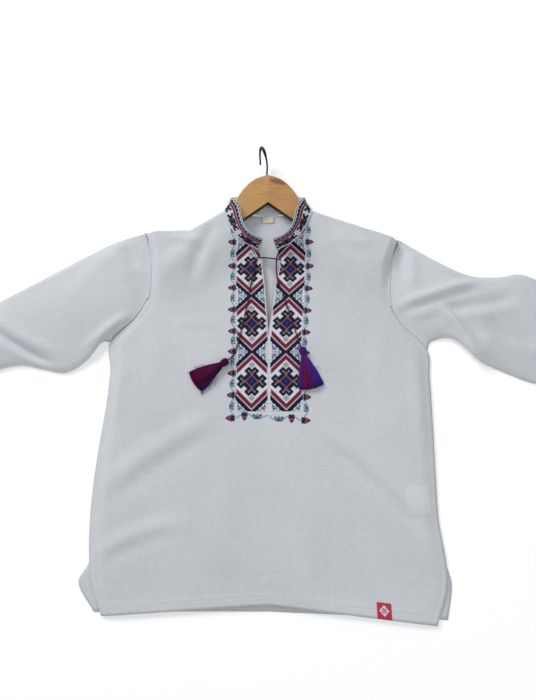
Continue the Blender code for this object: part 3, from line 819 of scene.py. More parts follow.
STITCH = 0.00128          # one stitch of the chart
STITCH_RISE = 0.00045     # a stitch's peak
STITCH_LIFT = 0.0001      # its foot over the cloth
EDGE_LIFT = 0.00015       # the same for leaves and stems
REPEAT = 72               # stitches from one rosette to the next
HALF_COLUMN = 19
APEX = 34                 # stitches from a rosette's middle to its chevron's tip
ROWS_BELOW = 179          # chart rows under the top rosette's middle
ROWS_ABOVE = 52
EDGE_MARGIN = 0.0012      # bare cloth between the chart and a finished edge
COLUMN_LEFT = 0.0243      # from the centre line to a column's middle
COLUMN_RIGHT = 0.0270
ROSETTE_Y = 0.1985        # middle of the top rosette
SPREAD_LEFT = 0.0030      # how far the open slit pushes each column out
SPREAD_RIGHT = 0.0092
SPREAD_FOOT = 0.078       # the spread starts here,
SPREAD_RUN = 0.122        # and is whole this far above


def rosette(i, j):
    """Colour of a stitch of the hooked rosette, or None outside it."""
    p, q = sorted((abs(i + j), abs(i - j)))
    if q <= 6:
        return SKY if q <= 1 else NAVY if q == 6 and p >= 4 else BLUE
    if q <= 8 and p <= 8:
        return MAUVE
    for line, reach in ((p, q), (q, p)):
        if 8 <= line <= 10 and 7 <= reach <= 17:
            return CLAY if reach < 12 else MAUVE if reach < 15 else SAGE
    for line, reach in ((p, q), (q, p)):
        if 4 <= line <= 14 and reach <= 21:
            return NAVY
    return None


def chart(i, j):
    """Colour of the breast panel's stitch at column i, row j from a rosette's middle."""
    a, b = abs(i), abs(j)
    d = a + b
    small = a + abs(b - 20)
    if a == HALF_COLUMN:
        return ICE if i > 0 else SNOW
    if small <= 4:
        return (NAVY, SAGE, SNOW, TEAL, SNOW)[small]
    if d < 27:
        return rosette(i, j) or SNOW
    if d <= 32 and a <= 17:
        return CRIMSON if (a + 3 * b) % 5 or d in (27, 32) else BRICK
    if d <= APEX:
        return BLUSH
    return gusset(a, REPEAT // 2 - b)


def gusset(a, c):
    """Stepped triangle between two chevrons; c counts rows from their crossing."""
    t = a - c
    step = (c // 2) % 2
    if t <= 4 + step or a <= 5:
        return NAVY
    if t <= 6 + step:
        return GLOW
    if t <= 7 + step:
        return TEAL
    bud = abs(a - 12) + c
    if bud <= 4:
        return (TEAL, STEEL, GLOW, GLOW, STEEL)[bud]
    if a >= 17:
        return SNOW
    return VIOLET if c >= 3 and (a + c) % 4 else SNOW


def column_shift(side, y):
    """How far the open slit pushes a column out at height y."""
    opening = min(max((y - SPREAD_FOOT) / SPREAD_RUN, 0.0), 1.0) ** 0.85
    return (SPREAD_LEFT if side < 0 else SPREAD_RIGHT) * opening


def panel_x(side, y):
    """Middle of an embroidered column at height y."""
    return side * ((COLUMN_LEFT if side < 0 else COLUMN_RIGHT) + column_shift(side, y))


def neck_limit(x):
    """Height of the neck seam."""
    return along(NECK_SEAM, abs(x))


def slit_limit(side, y):
    """Half width of the open slit."""
    return along(SLIT_LEFT if side < 0 else SLIT_RIGHT, y)


def build_panel(side, finish):
    """One charted column, cross-stitch by cross-stitch, following the front."""
    work = Stitches()
    rise = Vector((0.0, 0.0, STITCH_RISE))
    lattice = {}

    def corner(i, r):
        if (i, r) not in lattice:
            y = ROSETTE_Y + (r - 0.5) * STITCH
            lattice[(i, r)] = on_cloth(panel_x(side, y) + (i - 0.5) * STITCH, y, STITCH_LIFT)
        return lattice[(i, r)]

    for r in range(-ROWS_BELOW, ROWS_ABOVE):
        j = (r + REPEAT // 2) % REPEAT - REPEAT // 2
        y = ROSETTE_Y + r * STITCH
        middle = panel_x(side, y)
        slit = slit_limit(side, y) + EDGE_MARGIN
        for i in range(-HALF_COLUMN, HALF_COLUMN + 1):
            x = middle + i * STITCH
            if abs(x) < slit or y > neck_limit(x) - EDGE_MARGIN:
                continue
            corners = (corner(i, r), corner(i + 1, r), corner(i + 1, r + 1), corner(i, r + 1))
            work.cross(corners, rise, chart(i * side, j))
    return work.build("embroidery_left" if side < 0 else "embroidery_right", finish)


# Heights of a border's buds, from the foot up.
BUD_HEIGHTS = (-0.0412, -0.0068, 0.0266, 0.0611, 0.0938, 0.1294, 0.1664, 0.2035, 0.2426, 0.2827)
RIGHT_DROP = 0.0034       # the right border lies this much lower at the foot
DROP_TOP = 0.28           # and no lower here,
DROP_RUN = 0.32           # this far above
VINE_IN = 0.0252          # from a column's middle to the vine at a bud
VINE_OUT = 0.0325         # and half-way between two buds
VINE_STEP = 0.0012        # between the points of a vine
STEM = 0.0010             # width of its line
# Vine along the panel's foot, outside to inside: x, height over the lowest bud.
FOOT_VINE = (
    (0.0505, 0.0), (0.0455, 0.0006), (0.0400, 0.0050), (0.0345, 0.0072), (0.0280, 0.0060),
    (0.0225, 0.0020), (0.0160, -0.0010), (0.0090, 0.0010),
)
FOOT_MIDDLE = (0.0010, 0.0040)  # where the two halves of that vine meet
# Turned-out edge at the top of the slit's left side, x, y: a low ridge coloured white as a painted
# highlight, with a navy painted shadow beside it.
SLIT_FOLD = ((-0.0286, 0.2385), (-0.0232, 0.2325), (-0.0190, 0.2240), (-0.0152, 0.2160))


def bud_y(side, k):
    """Height of the k-th bud of a border, which may lie between two of them."""
    low = BUD_HEIGHTS[int(k)]
    high = BUD_HEIGHTS[min(int(k) + 1, len(BUD_HEIGHTS) - 1)]
    y = low + (high - low) * (k - int(k))
    return y if side < 0 else y - RIGHT_DROP * (DROP_TOP - y) / DROP_RUN


def vine_x(side, y):
    """The side vine's x at height y: it swings out between two buds."""
    for k in range(len(BUD_HEIGHTS) - 1):
        low, high = bud_y(side, k), bud_y(side, k + 1)
        if y <= high:
            break
    between = 0.5 - 0.5 * math.cos(2 * math.pi * (y - low) / (high - low))
    return panel_x(side, y) + side * (VINE_IN + (VINE_OUT - VINE_IN) * between)


def add_bud(work, x, y, angle, size=1.0):
    """A closed flower: a navy cup of five leaves round a dark crimson tulip."""

    def petal(forward, aside, turn, length, width, colour, rise=0.0005):
        px = x + (math.cos(angle) * forward - math.sin(angle) * aside) * size
        py = y + (math.sin(angle) * forward + math.cos(angle) * aside) * size
        heading = angle + math.radians(turn)
        work.leaf(px, py, heading, length * size, width * size, colour, rise)

    for side in (-1, 1):
        petal(-0.0010, 0.0, 78 * side, 0.0052, 0.0030, NAVY)
        petal(-0.0004, 0.0008 * side, 44 * side, 0.0066, 0.0030, NAVY)
        petal(0.0028, 0.0006 * side, 34 * side, 0.0058, 0.0030, WINE, 0.0007)
        petal(0.0060, 0.0026 * side, -24 * side, 0.0060, 0.0027, CRIMSON, 0.0007)
        petal(0.0052, 0.0011 * side, 12 * side, 0.0026, 0.0010, BLUSH, 0.0010)
    petal(-0.0018, 0.0, 0, 0.0070, 0.0042, NAVY)
    petal(0.0048, 0.0, 0, 0.0072, 0.0026, WINE, 0.0008)


def add_sprig(work, x, y, angle, size=1.0, colour=STEEL):
    """A middle leaf, and on each side a straight one and one that curls up at its tip."""

    def leaf(x, y, turn, length, width, dye=colour):
        work.leaf(x, y, angle + math.radians(turn), length * size, width * size, dye)

    for side in (-1, 1):
        outer = angle + math.radians(70 * side)
        tip_x = x + math.cos(outer) * 0.0050 * size
        tip_y = y + math.sin(outer) * 0.0050 * size
        leaf(x, y, 70 * side, 0.0062, 0.0018)
        leaf(tip_x, tip_y, 8 * side, 0.0050, 0.0020)
        leaf(x, y, 32 * side, 0.0084, 0.0021)
    leaf(x, y, 0, 0.0078, 0.0020, TEAL)


def plan_ribbon(work, plan, width, colour):
    """A stem-stitched line on the front along plan points."""
    path = []
    for k, (x, y) in enumerate(plan):
        x0, y0 = plan[max(k - 1, 0)]
        x1, y1 = plan[min(k + 1, len(plan) - 1)]
        aside = Vector((-(y1 - y0), x1 - x0, 0.0)).normalized()
        path.append((on_cloth(x, y, EDGE_LIFT), aside))
    work.ribbon(path, width, colour)


def add_side_border(work, side):
    """A vine up one side of the panel, with a bud at each bend and a sprig between them."""
    foot = bud_y(side, 0)
    vine = []
    top = foot + 0.002
    while top < neck_limit(vine_x(side, top)) - 0.003:
        vine.append((vine_x(side, top), top))
        top += VINE_STEP
    plan_ribbon(work, vine, STEM, STEEL)
    edge = [(panel_x(side, y) + side * (HALF_COLUMN + 0.9) * STITCH, y)
            for y in (foot + 0.0125 + 0.003 * k for k in range(120))
            if y < neck_limit(vine_x(side, y)) - 0.004]
    plan_ribbon(work, edge, 0.0008, ICE)
    outward = 0.0 if side > 0 else math.pi
    for k in range(len(BUD_HEIGHTS)):
        y = bud_y(side, k)
        if k and y < top - 0.004:
            add_bud(work, vine_x(side, y), y, outward)
        y = bud_y(side, k + 0.5)
        if k < len(BUD_HEIGHTS) - 1 and y < top - 0.004:
            add_sprig(work, vine_x(side, y) - side * 0.0004, y + 0.001, math.pi - outward)
    add_bud(work, side * FOOT_VINE[0][0], foot, outward)


def add_foot_border(work, side):
    """Half of the vine under the panel, with one hanging bud and one sprig."""
    foot = bud_y(side, 0)
    swing = [(side * x, foot + rise) for x, rise in FOOT_VINE]
    swing.append((side * FOOT_MIDDLE[0], bud_y(-1, 0) + FOOT_MIDDLE[1]))
    plan_ribbon(work, curve(swing, 30), STEM, STEEL)
    add_bud(work, side * 0.0345, foot + 0.0072, -math.pi / 2, 0.95)
    add_sprig(work, side * 0.0160, foot - 0.0015, math.pi / 2, 1.15, SKY)


def build_border(finish):
    """Vine, buds and leaves round the panel, and the slit's turned-out edge, a ridge with a painted
    highlight and a painted shadow.
    """
    work = Stitches()
    for side in (-1, 1):
        add_side_border(work, side)
        add_foot_border(work, side)
    fold = curve(SLIT_FOLD, 12)
    # the edge's ridge, coloured white as a painted highlight
    plan_ribbon(work, fold, 0.0014, SNOW)
    # a navy painted shadow beside the ridge, down and to its left
    plan_ribbon(work, [(x - 0.0016, y - 0.0008) for x, y in fold], 0.0012, NAVY)
    return work.build("vine_border", finish, smooth=True)


COLLAR_HEIGHT = 28        # chart rows from the neck seam to the collar's top edge
COLLAR_REPEAT = 32
COLLAR_LOW = 0.03         # the chart's share of the collar's height starts here
COLLAR_SHARE = 0.95
COLLAR_HIDDEN = (0.32, 0.68)  # the lowest row is left out here, behind the neck


def collar_chart(i, j):
    """Collar band: hooked rosettes, a crimson stripe and a zigzag along the navy edge."""
    top = COLLAR_HEIGHT - 1 - j
    zigzag = abs(i % 6 - 3)
    if top == 0:
        return NAVY
    if top <= 4:
        return NAVY if top > zigzag + 1 else GLOW if top >= zigzag else STEEL
    if top <= 7:
        return NAVY
    if top in (8, 13):
        return BLUSH
    if top <= 12:
        return CRIMSON if (i + j) % 6 else BRICK
    if j == 0:
        return GLOW
    a = abs((i + COLLAR_REPEAT // 2) % COLLAR_REPEAT - COLLAR_REPEAT // 2)
    b = abs(j - 7)
    if a > 13 or b > 6:
        return STEEL if a == 16 and b in (2, 5) else SNOW
    if a <= 2 and b <= 1:
        return BLUE
    if abs(a - 1.8 * b) < 1.5:
        return MAUVE if a < 9 else SAGE
    return SNOW if (6 <= a <= 8 and b >= 5) or (a >= 11 and b <= 1) else NAVY


def build_collar_stitches(finish):
    """The collar's chart, cross-stitch by cross-stitch, on its outer face."""
    work = Stitches()
    samples = [(0.0, 0.0)]
    last = collar_place(0.0, 0.5)
    for k in range(1, 401):
        co = collar_place(k / 400, 0.5)
        samples.append((samples[-1][0] + (co - last).length, k / 400))
        last = co
    total = samples[-1][0]
    count = int(total / STITCH)
    lattice = {}

    def corner(i, j):
        """A stitch's corner on the collar, and the collar's normal there."""
        if (i, j) not in lattice:
            u = along(samples, total * i / count)
            v = COLLAR_LOW + COLLAR_SHARE * j / COLLAR_HEIGHT
            du = collar_place(min(u + 0.002, 1.0), v) - collar_place(max(u - 0.002, 0.0), v)
            dv = collar_place(u, 1.0) - collar_place(u, 0.0)
            lattice[(i, j)] = (collar_place(u, v), dv.cross(du).normalized())
        return lattice[(i, j)]

    for i in range(1, count - 1):
        behind = COLLAR_HIDDEN[0] < i / count < COLLAR_HIDDEN[1]
        for j in range(1 if behind else 0, COLLAR_HEIGHT):
            around = [corner(i, j + 1), corner(i + 1, j + 1), corner(i + 1, j), corner(i, j)]
            corners = [co + normal * STITCH_LIFT for co, normal in around]
            normal = sum((n for _, n in around), Vector()).normalized()
            work.cross(corners, normal * STITCH_RISE, collar_chart(i - count // 2, j))
    return work.build("collar_embroidery", finish)


# --- cords and threads ------------------------------------------------------------
def round_path(path):
    """Each point of a path with a function that gives the direction out of it at an angle."""
    aside = None
    for k, co in enumerate(path):
        run = (path[min(k + 1, len(path) - 1)] - path[max(k - 1, 0)]).normalized()
        if aside is None:
            aside = run.cross(Vector((0, 0, 1)))
            if aside.length < 1e-6:
                aside = Vector((1, 0, 0))
        aside = (aside - run * aside.dot(run)).normalized()
        up = run.cross(aside)
        yield co, lambda angle, a=aside, b=up: a * math.cos(angle) + b * math.sin(angle)


def tube_points(path, radius, sides, closed_ends=True):
    """Points and faces of a tube along a path of Vectors."""
    points, faces = [], []
    for co, out in round_path(path):
        points += [co + out(2 * math.pi * s / sides) * radius for s in range(sides)]
    for k in range(len(path) - 1):
        for s in range(sides):
            a, b = k * sides + s, k * sides + (s + 1) % sides
            faces.append((a, b, b + sides, a + sides))
    if closed_ends:
        faces.append(tuple(reversed(range(sides))))
        faces.append(tuple(range((len(path) - 1) * sides, len(path) * sides)))
    return points, faces


LACE_PITCH = 0.0034       # along the lace for one turn of its two strands
STRAND_OUT = 0.25         # a strand's middle from the lace's, in lace thicknesses
STRAND_RADIUS = 0.37


def route_points(route, count):
    """Points of a lace over the front, from its route's x, y and clearance."""
    return [Vector((x, y, front_z(x, y) + CLOTH + CORD / 2 + lift))
            for x, y, lift in curve(route, count - 1)]


def path_length(path):
    """A path's own length."""
    return sum((b - a).length for a, b in zip(path, path[1:]))


def rope_object(name, route, count, finish):
    """Two strands twisted round each other along the cord's route."""
    path = route_points(route, count)
    strands = ([], [])
    walked = 0.0
    last = path[0]
    for co, out in round_path(path):
        walked += (co - last).length
        last = co
        for s, strand in enumerate(strands):
            angle = 2 * math.pi * walked / LACE_PITCH + math.pi * s
            strand.append(co + out(angle) * CORD * STRAND_OUT)
    points, faces = [], []
    for strand in strands:
        tube, tube_faces = tube_points(strand, CORD * STRAND_RADIUS, 6)
        base = len(points)
        points += tube
        faces += [tuple(base + k for k in face) for face in tube_faces]
    return add_object(name, mesh_of(name, points, faces), finish), path


TASSEL_AIR = 0.0009       # under a tassel's threads
BINDING_TURNS = 8         # rings that bind a head's foot
BINDING_FROM = 0.150      # where they start, as a share of the tassel's length
BINDING_STEP = 0.008
HEAD_THREADS = 160
HEAD_RADIUS = 0.0060
HEAD_SHARE = 0.22         # of the tassel's length
HEAD_BEFORE = 0.05        # how far of that lies before its given place
SKIRT_THREADS = 1100
WAIST = 0.19              # where the skirt leaves the head


class Tassel:
    """One tassel that lies on the front; it draws its threads' places in order.

    bands holds the first thread's place in the fan, from -1 to 1, of each dye.
    """

    def __init__(self, spec, dyes, bands, seed, reach):
        head_x, head_y, end_x, end_y, self.half = spec
        self.head = Vector((head_x, head_y, 0.0))
        axis = Vector((end_x - head_x, end_y - head_y, 0.0))
        self.length = axis.length * reach
        self.run = axis.normalized()
        self.across = Vector((-self.run.y, self.run.x, 0.0))
        self.dyes = dyes
        self.bands = bands
        self.draw = random.Random(seed)

    def at(self, t, aside, up):
        """A point at share t of the length, moved aside and up."""
        plan = self.head + self.run * (self.length * t) + self.across * aside
        plan.z = front_z(plan.x, plan.y) + CLOTH + TASSEL_AIR + up
        return plan

    def tinted(self, fan):
        """The dye of a thread at this place in the fan, a little off its own depth."""
        place = fan + self.draw.uniform(-0.30, 0.30)
        dye = self.dyes[0]
        for start, other in zip(self.bands[1:], self.dyes[1:]):
            if place >= start:
                dye = other
        depth = self.draw.uniform(0.45, 1.45)
        return tuple(c * depth for c in dye)

    def build_head(self, name, finish):
        """A round knot of threads and the binding under it."""
        work = Stitches()
        for ring in range(BINDING_TURNS):
            t = BINDING_FROM + BINDING_STEP * ring
            turns = [2 * math.pi * k / 12 for k in range(13)]
            path = [self.at(t, 0.0043 * math.cos(a), 0.0038 + 0.0036 * math.sin(a)) for a in turns]
            work.thread(path, 0.00045, 4, tuple(c * 0.6 for c in self.dyes[0]), False)
        for _ in range(HEAD_THREADS):
            angle = 2 * math.pi * self.draw.random()
            spread = HEAD_RADIUS * math.sqrt(self.draw.random())
            path = []
            for step in range(7):
                t = HEAD_SHARE * step / 6 - HEAD_BEFORE
                swell = math.sin(math.pi * (0.20 + 0.66 * step / 6)) ** 0.8
                path.append(self.at(t, spread * swell * math.cos(angle),
                                    0.0040 + spread * 0.75 * swell * math.sin(angle)))
            work.thread(path, 0.00045, 3, self.tinted(math.cos(angle)))
        return work.build(name, finish, smooth=True)

    def add_skirt_thread(self, work, k):
        """The k-th thread of the fan, in a layer of its own."""
        draw = self.draw
        fan = ((k + 0.5) / SKIRT_THREADS * 2 - 1) * (1.0 - 0.08 * draw.random())
        layer = draw.random() ** 0.6
        tip = 1.0 - 0.06 * fan * fan + draw.uniform(-0.045, 0.030)
        bend = draw.uniform(-0.0016, 0.0016)
        path = []
        for step in range(7):
            t = WAIST + (tip - WAIST) * step / 6
            opened = (t - WAIST) / (1.0 - WAIST)
            flare = math.sin(math.pi / 2 * min(opened, 1.0))
            width = 0.0036 + (self.half - 0.0030) * (0.35 * opened + 0.65 * flare)
            belly = 0.0075 + 0.0035 * math.sin(math.pi * min(opened, 1.0))
            depth = belly * math.sqrt(1.0 - 0.97 * fan * fan)
            wave = bend * math.sin(3.0 * opened + k)
            path.append(self.at(t, fan * width + wave, 0.0004 + depth * layer * (1.0 - 0.45 * opened)))
        work.thread(path, 0.00030, 3, self.tinted(fan))

    def add_stray(self, work):
        """A thread that curls out of the skirt's side on to the cloth."""
        draw = self.draw
        t = draw.uniform(0.35, 0.95)
        fan = draw.choice((-1, 1, 1, 1)) * 0.9
        turn = math.radians(draw.uniform(20, 75)) * fan
        reach = draw.uniform(0.006, 0.013)
        width = self.half * math.sin(math.pi / 2 * t) ** 0.8
        path = []
        for step in range(6):
            out = reach * step / 5
            swing = turn + draw.uniform(-0.10, 0.10)
            aside = fan * width + out * math.sin(swing)
            path.append(self.at(t + out * math.cos(swing) / self.length, aside, 0.0004))
        work.thread(path, 0.00016, 3, self.tinted(fan))

    def build_skirt(self, name, finish, strays):
        """The full fan of separate threads, and those that have gone astray."""
        work = Stitches()
        for k in range(SKIRT_THREADS):
            self.add_skirt_thread(work, k)
        for _ in range(strays):
            self.add_stray(work)
        return work.build(name, finish, smooth=True)


def build_hanger_half(side, name, wood, shade):
    """A half of the hanger: its outline filled and drawn up to its thickness."""
    tip = curve((HANGER_LOW[-1],) + HANGER_END + (HANGER_TOP[0],), 10)
    outline = curve(HANGER_LOW, 16) + tip[1:-1] + curve(HANGER_TOP, 30)
    deselect()
    bpy.ops.mesh.primitive_circle_add(vertices=len(outline), radius=0.1, fill_type="NGON")
    half = bpy.context.object
    half.name = name
    for vert, (x, y) in zip(half.data.vertices, outline if side > 0 else reversed(outline)):
        vert.co = (side * (x + GAP / 4), y, HANGER_Z)
    bpy.ops.object.mode_set(mode="EDIT")
    bpy.ops.mesh.select_all(action="SELECT")
    bpy.ops.mesh.extrude_region_move(TRANSFORM_OT_translate={"value": (0.0, 0.0, HANGER_THICK)})
    bpy.ops.mesh.select_all(action="SELECT")
    bpy.ops.mesh.normals_make_consistent(inside=False)
    bpy.ops.mesh.select_all(action="DESELECT")
    bm = bmesh.from_edit_mesh(half.data)
    for vert in bm.verts:
        if vert.co.z < HANGER_Z + GAP and vert.co.y < along(HANGER_LOW, abs(vert.co.x)) + GAP:
            vert.co.y += HANGER_RELIEF
    bmesh.update_edit_mesh(half.data)
    bpy.ops.object.mode_set(mode="OBJECT")
    half.data.materials.append(wood)
    half.data.materials.append(shade)
    # the lower walls get the dark material: painted shade where the wall stands in shadow
    for face in half.data.polygons:
        below = along(HANGER_LOW, abs(face.center.x)) + HANGER_SHADE_BAND > face.center.y
        face.material_index = int(below and face.normal.z < 0.75)
    deselect()
    half.select_set(True)
    bpy.ops.object.shade_smooth_by_angle(angle=math.radians(35))
    half.select_set(False)
    return half


WIRE_RADIUS = 0.0015
CROWN_GROWS = 0.0012      # how much thicker the coating is round the crown
WIRE_SIDES = 16


def build_hook(finish):
    """Black-coated wire hook, thickest round its crown."""
    lean = Vector((-math.cos(HOOK_LEAN), 0.0, math.sin(HOOK_LEAN)))
    base = Vector((HOOK_X, HANGER_TOP[-1][1], HANGER_Z + HANGER_THICK / 2))
    path, radii = [], []
    for k, (stem, away) in enumerate(curve(HOOK_ROUTE, 80)):
        path.append(base + Vector((0.0, stem, 0.0)) + lean * away)
        crown = smoothstep((k - 30) / 12) * smoothstep((70 - k) / 22)
        radii.append(WIRE_RADIUS + CROWN_GROWS * crown)
    points, faces = tube_points(path, 1.0, WIRE_SIDES)
    for k, radius in enumerate(radii):
        for s in range(k * WIRE_SIDES, (k + 1) * WIRE_SIDES):
            points[s] = path[k] + (points[s] - path[k]) * radius
    return add_object("wire_hook", mesh_of("wire_hook", points, faces), finish)


TOPSTITCH = 0.0030        # from one machine stitch to the next
TOPSTITCH_LONG = 0.0020
SLIT_STITCHES = 0.0090    # from the slit's edge
ARMHOLE_STITCHES = 0.0070
HEM_STITCHES = 0.0018     # from the hem's upper edge


def stitch_row(work, plan):
    """Machine topstitching along plan points on the front."""
    walked, due = 0.0, 0.0
    for (x0, y0), (x1, y1) in zip(plan, plan[1:]):
        step = math.hypot(x1 - x0, y1 - y0)
        dx, dy = (x1 - x0) / step, (y1 - y0) / step
        while due < walked + step:
            path = []
            for t, lift in ((-0.5, 0.0001), (0.0, 0.00022), (0.5, 0.0001)):
                run = due - walked + TOPSTITCH_LONG * t
                path.append(on_cloth(x0 + dx * run, y0 + dy * run, lift))
            work.thread(path, 0.00017, 4, SNOW)
            due += TOPSTITCH
        walked += step


def build_topstitching(finish):
    """Rows along the hem, and beside each armhole and each side slit."""
    work = Stitches()
    left, right = -0.205, 0.222
    hem = [left + (right - left) * k / 120 for k in range(121)]
    stitch_row(work, [(x, hem_y(x) + HEM_DEPTH - HEM_STITCHES) for x in hem])
    for side in (-1, 1):
        armhole = [body_edge(side, 0.55 + 0.44 * k / 40) for k in range(41)]
        stitch_row(work, [(x - side * ARMHOLE_STITCHES, y) for x, y in armhole])
        slit = [body_edge(side, 0.135 * k / 20) for k in range(21)]
        stitch_row(work, [(x - side * SLIT_STITCHES, y + 0.003) for x, y in slit])
    return work.build("topstitching", finish, smooth=True)


def build_piping(finish):
    """Rolled edges of the slit and the piped seam under the collar's front."""
    work = Stitches()
    low = SLIT_ROW + 0.2
    rows = [low + (NECK_ROW - low) * k / 59 for k in range(60)]
    for side in (-1, 1):
        edge = [front_plan(0.5, row / (len(CENTRE_ROWS) - 1), side) for row in rows]
        work.thread([on_cloth(x, y, STITCH_LIFT) for x, y in edge], 0.0006, 6, SNOW)
        seam = [collar_place(0.5 + side * (0.5 - 0.30 * k / 79), 0.0) for k in range(80)]
        work.thread([co + Vector((0.0, 0.0, 0.0007)) for co in seam], 0.0009, 6, SNOW)
    return work.build("piping", finish, smooth=True)


def build_armhole_seams(finish):
    """The rolled seam round each armhole."""
    work = Stitches()
    for side in (-1, 1):
        edge = [body_edge(side, 0.66 + 0.335 * k / 69) for k in range(70)]
        path = [Vector((x, y, edge_z(side, y) + CLOTH - 0.0002)) for x, y in edge]
        work.thread(path, 0.0017, 8, SNOW)
    return work.build("armhole_seams", finish, smooth=True)


# --- labels --------------------------------------------------------------------
TAB_AIR = 0.0006          # between the tab and the hem it is sewn on
TAB_WALL = 0.0005
LABEL_WALL = 0.0004
NECK_LABEL_LONG = 0.0120


def tab_place(u, v):
    """Upper face of the hem tab, from its lower left corner."""
    middle, width, length = TAB
    x = middle + width * (u - 0.5)
    y = hem_y(x) + 0.0005 + length * v
    return Vector((x, y, cloth_top(x, y) + TAB_AIR))


def ribbed_red():
    """Woven rayon with fine ribs across."""
    red = Finish("woven_red", Roughness=0.7)
    _, y, _ = red.axes(red.place())
    ribs = (y * (2 * math.pi / RIB_PITCH)).sine() * 0.5 + 0.5
    red.colour(red.mix(ribs, (0.48, 0.012, 0.050), (0.60, 0.030, 0.080)))
    red.bump(ribs, 0.0001, 0.7)
    return red.material


def build_diamond(finish):
    """A plain diamond with a small cross in it, woven on the tab."""
    work = Stitches()
    cells = 19
    half = 0.5 / cells
    for i in range(-6, 7):
        for j in range(-6, 7):
            far = abs(i) + abs(j)
            on_cross = i * j == 0 and 2 < far < 6
            if far not in (2, 5, 6) and not on_cross:
                continue
            u, v = 0.5 + i / cells, 0.52 + j / cells
            corners = ((-half, -half), (half, -half), (half, half), (-half, half))
            square = [tab_place(u + a, v + b) + Vector((0.0, 0.0, 0.0002)) for a, b in corners]
            work.cross(square, Vector((0.0, 0.0, 0.0003)), GLOW)
    return work.build("tab_diamond", finish)


def build_label(name, node, finish, x, y, z, width, length, down=False):
    """A flat label whose edge starts at y and runs up, or down, from there."""
    run = -length if down else length

    def place(u, v, side):
        return Vector((x + width * (u - 0.5), y + run * v, z))

    label = grid_object(name, 8, 8, place, finish)
    apply_wall(label, LABEL_WALL, 1.0)
    settle(label, "label_cotton", node)


# --- properties ----------------------------------------------------------------
class ShirtSettings(bpy.types.PropertyGroup):
    linen: bpy.props.FloatVectorProperty(
        name="Linen", description="Colour of the bleached linen", subtype="COLOR",
        size=3, min=0.0, max=1.0, default=(0.675, 0.705, 0.740))
    wall: bpy.props.FloatProperty(
        name="Linen Thickness", description="Thickness of the shirt's cloth",
        default=LINEN, min=0.0002, max=0.0012, unit="LENGTH")


class LaceSettings(bpy.types.PropertyGroup):
    maroon: bpy.props.FloatVectorProperty(
        name="Maroon", description="Main colour of the lace", subtype="COLOR",
        size=3, min=0.0, max=1.0, default=(0.050, 0.005, 0.018))
    violet: bpy.props.FloatVectorProperty(
        name="Violet", description="Main colour of the right tassel", subtype="COLOR",
        size=3, min=0.0, max=1.0, default=(0.095, 0.022, 0.260))


class StageSettings(bpy.types.PropertyGroup):
    camera_height: bpy.props.FloatProperty(
        name="Camera Height", description="Height of the camera over the floor",
        default=0.778, min=0.1, max=5.0, unit="LENGTH")
    camera_y: bpy.props.FloatProperty(
        name="Camera Y", description="Where the camera stands along the shirt",
        default=-0.178, min=-5.0, max=5.0, unit="LENGTH")
    camera_tilt: bpy.props.FloatProperty(
        name="Camera Tilt", description="How far the camera looks toward the collar",
        default=math.radians(17.4), min=0.0, max=math.pi / 2, subtype="ANGLE")
    lens: bpy.props.FloatProperty(
        name="Lens", description="Focal length in millimetres for a 36 mm frame",
        default=27.26, min=5.0, max=200.0)


# --- operators --------------------------------------------------------------------
class SHIRT_OT_body(bpy.types.Operator):
    """Lay the front and the back of the shirt"""
    bl_idname = "shirt.body"
    bl_label = "Front and Back"

    def execute(self, context):
        settings = context.scene.shirt

        def place_front(u, v, side):
            x, y = front_plan(u, v, side)
            return Vector((x, y, cloth_top(x, y)))

        front = grid_object("linen_front", 112, 134, place_front,
                            linen_finish("front_linen", settings.linen, patch=CARE_LABEL),
                            SLIT_ROW / (len(CENTRE_ROWS) - 1))
        apply_wall(front, settings.wall, -1.0)
        settle(front, "white_linen", "front")
        back = grid_object("linen_back", 80, 96, lambda u, v, side: back_place(u, v),
                           linen_finish("back_linen", settings.linen))
        apply_wall(back, settings.wall, 1.0)
        settle(back, "white_linen", "back")
        return {"FINISHED"}


class SHIRT_OT_sleeves(bpy.types.Operator):
    """Lay the two sleeves as flattened tubes"""
    bl_idname = "shirt.sleeves"
    bl_label = "Sleeves"

    def execute(self, context):
        settings = context.scene.shirt
        for node, table, side, creases, turn in (
            ("sleeve_left", SLEEVE_LEFT, -1, SLEEVE_CREASES_LEFT, -31),
            ("sleeve_right", SLEEVE_RIGHT, 1, SLEEVE_CREASES_RIGHT, 27),
        ):
            name = "linen_" + node
            sleeve = grid_object(
                name, 112, 96,
                lambda u, v, s, t=table, d=side, c=creases: sleeve_place(t, d, c, u, v),
                linen_finish(name + "_linen", settings.linen, math.radians(turn)), closed=True)
            apply_wall(sleeve, settings.wall, -1.0)
            settle(sleeve, "white_linen", node)
        return {"FINISHED"}


class SHIRT_OT_collar(bpy.types.Operator):
    """Stand the collar up round the neck, with its embroidery"""
    bl_idname = "shirt.collar"
    bl_label = "Collar"

    def execute(self, context):
        collar = grid_object(
            "linen_collar", 180, 16, lambda u, v, side: collar_place(1.0 - u, v),
            linen_finish("collar_linen", context.scene.shirt.linen))
        apply_wall(collar, COLLAR_WALL, -1.0)
        floss = build_collar_stitches(thread_finish("collar_floss"))
        settle(collar, "embroidered_linen", "collar")
        settle(floss, "embroidered_linen")
        return {"FINISHED"}


class SHIRT_OT_embroidery(bpy.types.Operator):
    """Work the breast panel: two charted columns and their vine border"""
    bl_idname = "shirt.embroidery"
    bl_label = "Breast Embroidery"

    def execute(self, context):
        floss = thread_finish("floss")
        for item in (build_panel(-1, floss), build_panel(1, floss), build_border(floss)):
            settle(item, "embroidered_linen")
        return {"FINISHED"}


class SHIRT_OT_seams(bpy.types.Operator):
    """Sew the hem, the slits, the armholes and the neck seam"""
    bl_idname = "shirt.seams"
    bl_label = "Seams and Bindings"

    def execute(self, context):
        cotton = thread_finish("white_thread")
        linen = linen_finish("seam_linen", context.scene.shirt.linen)
        for item in (build_topstitching(cotton), build_piping(cotton), build_armhole_seams(linen)):
            settle(item, "white_linen")
        return {"FINISHED"}


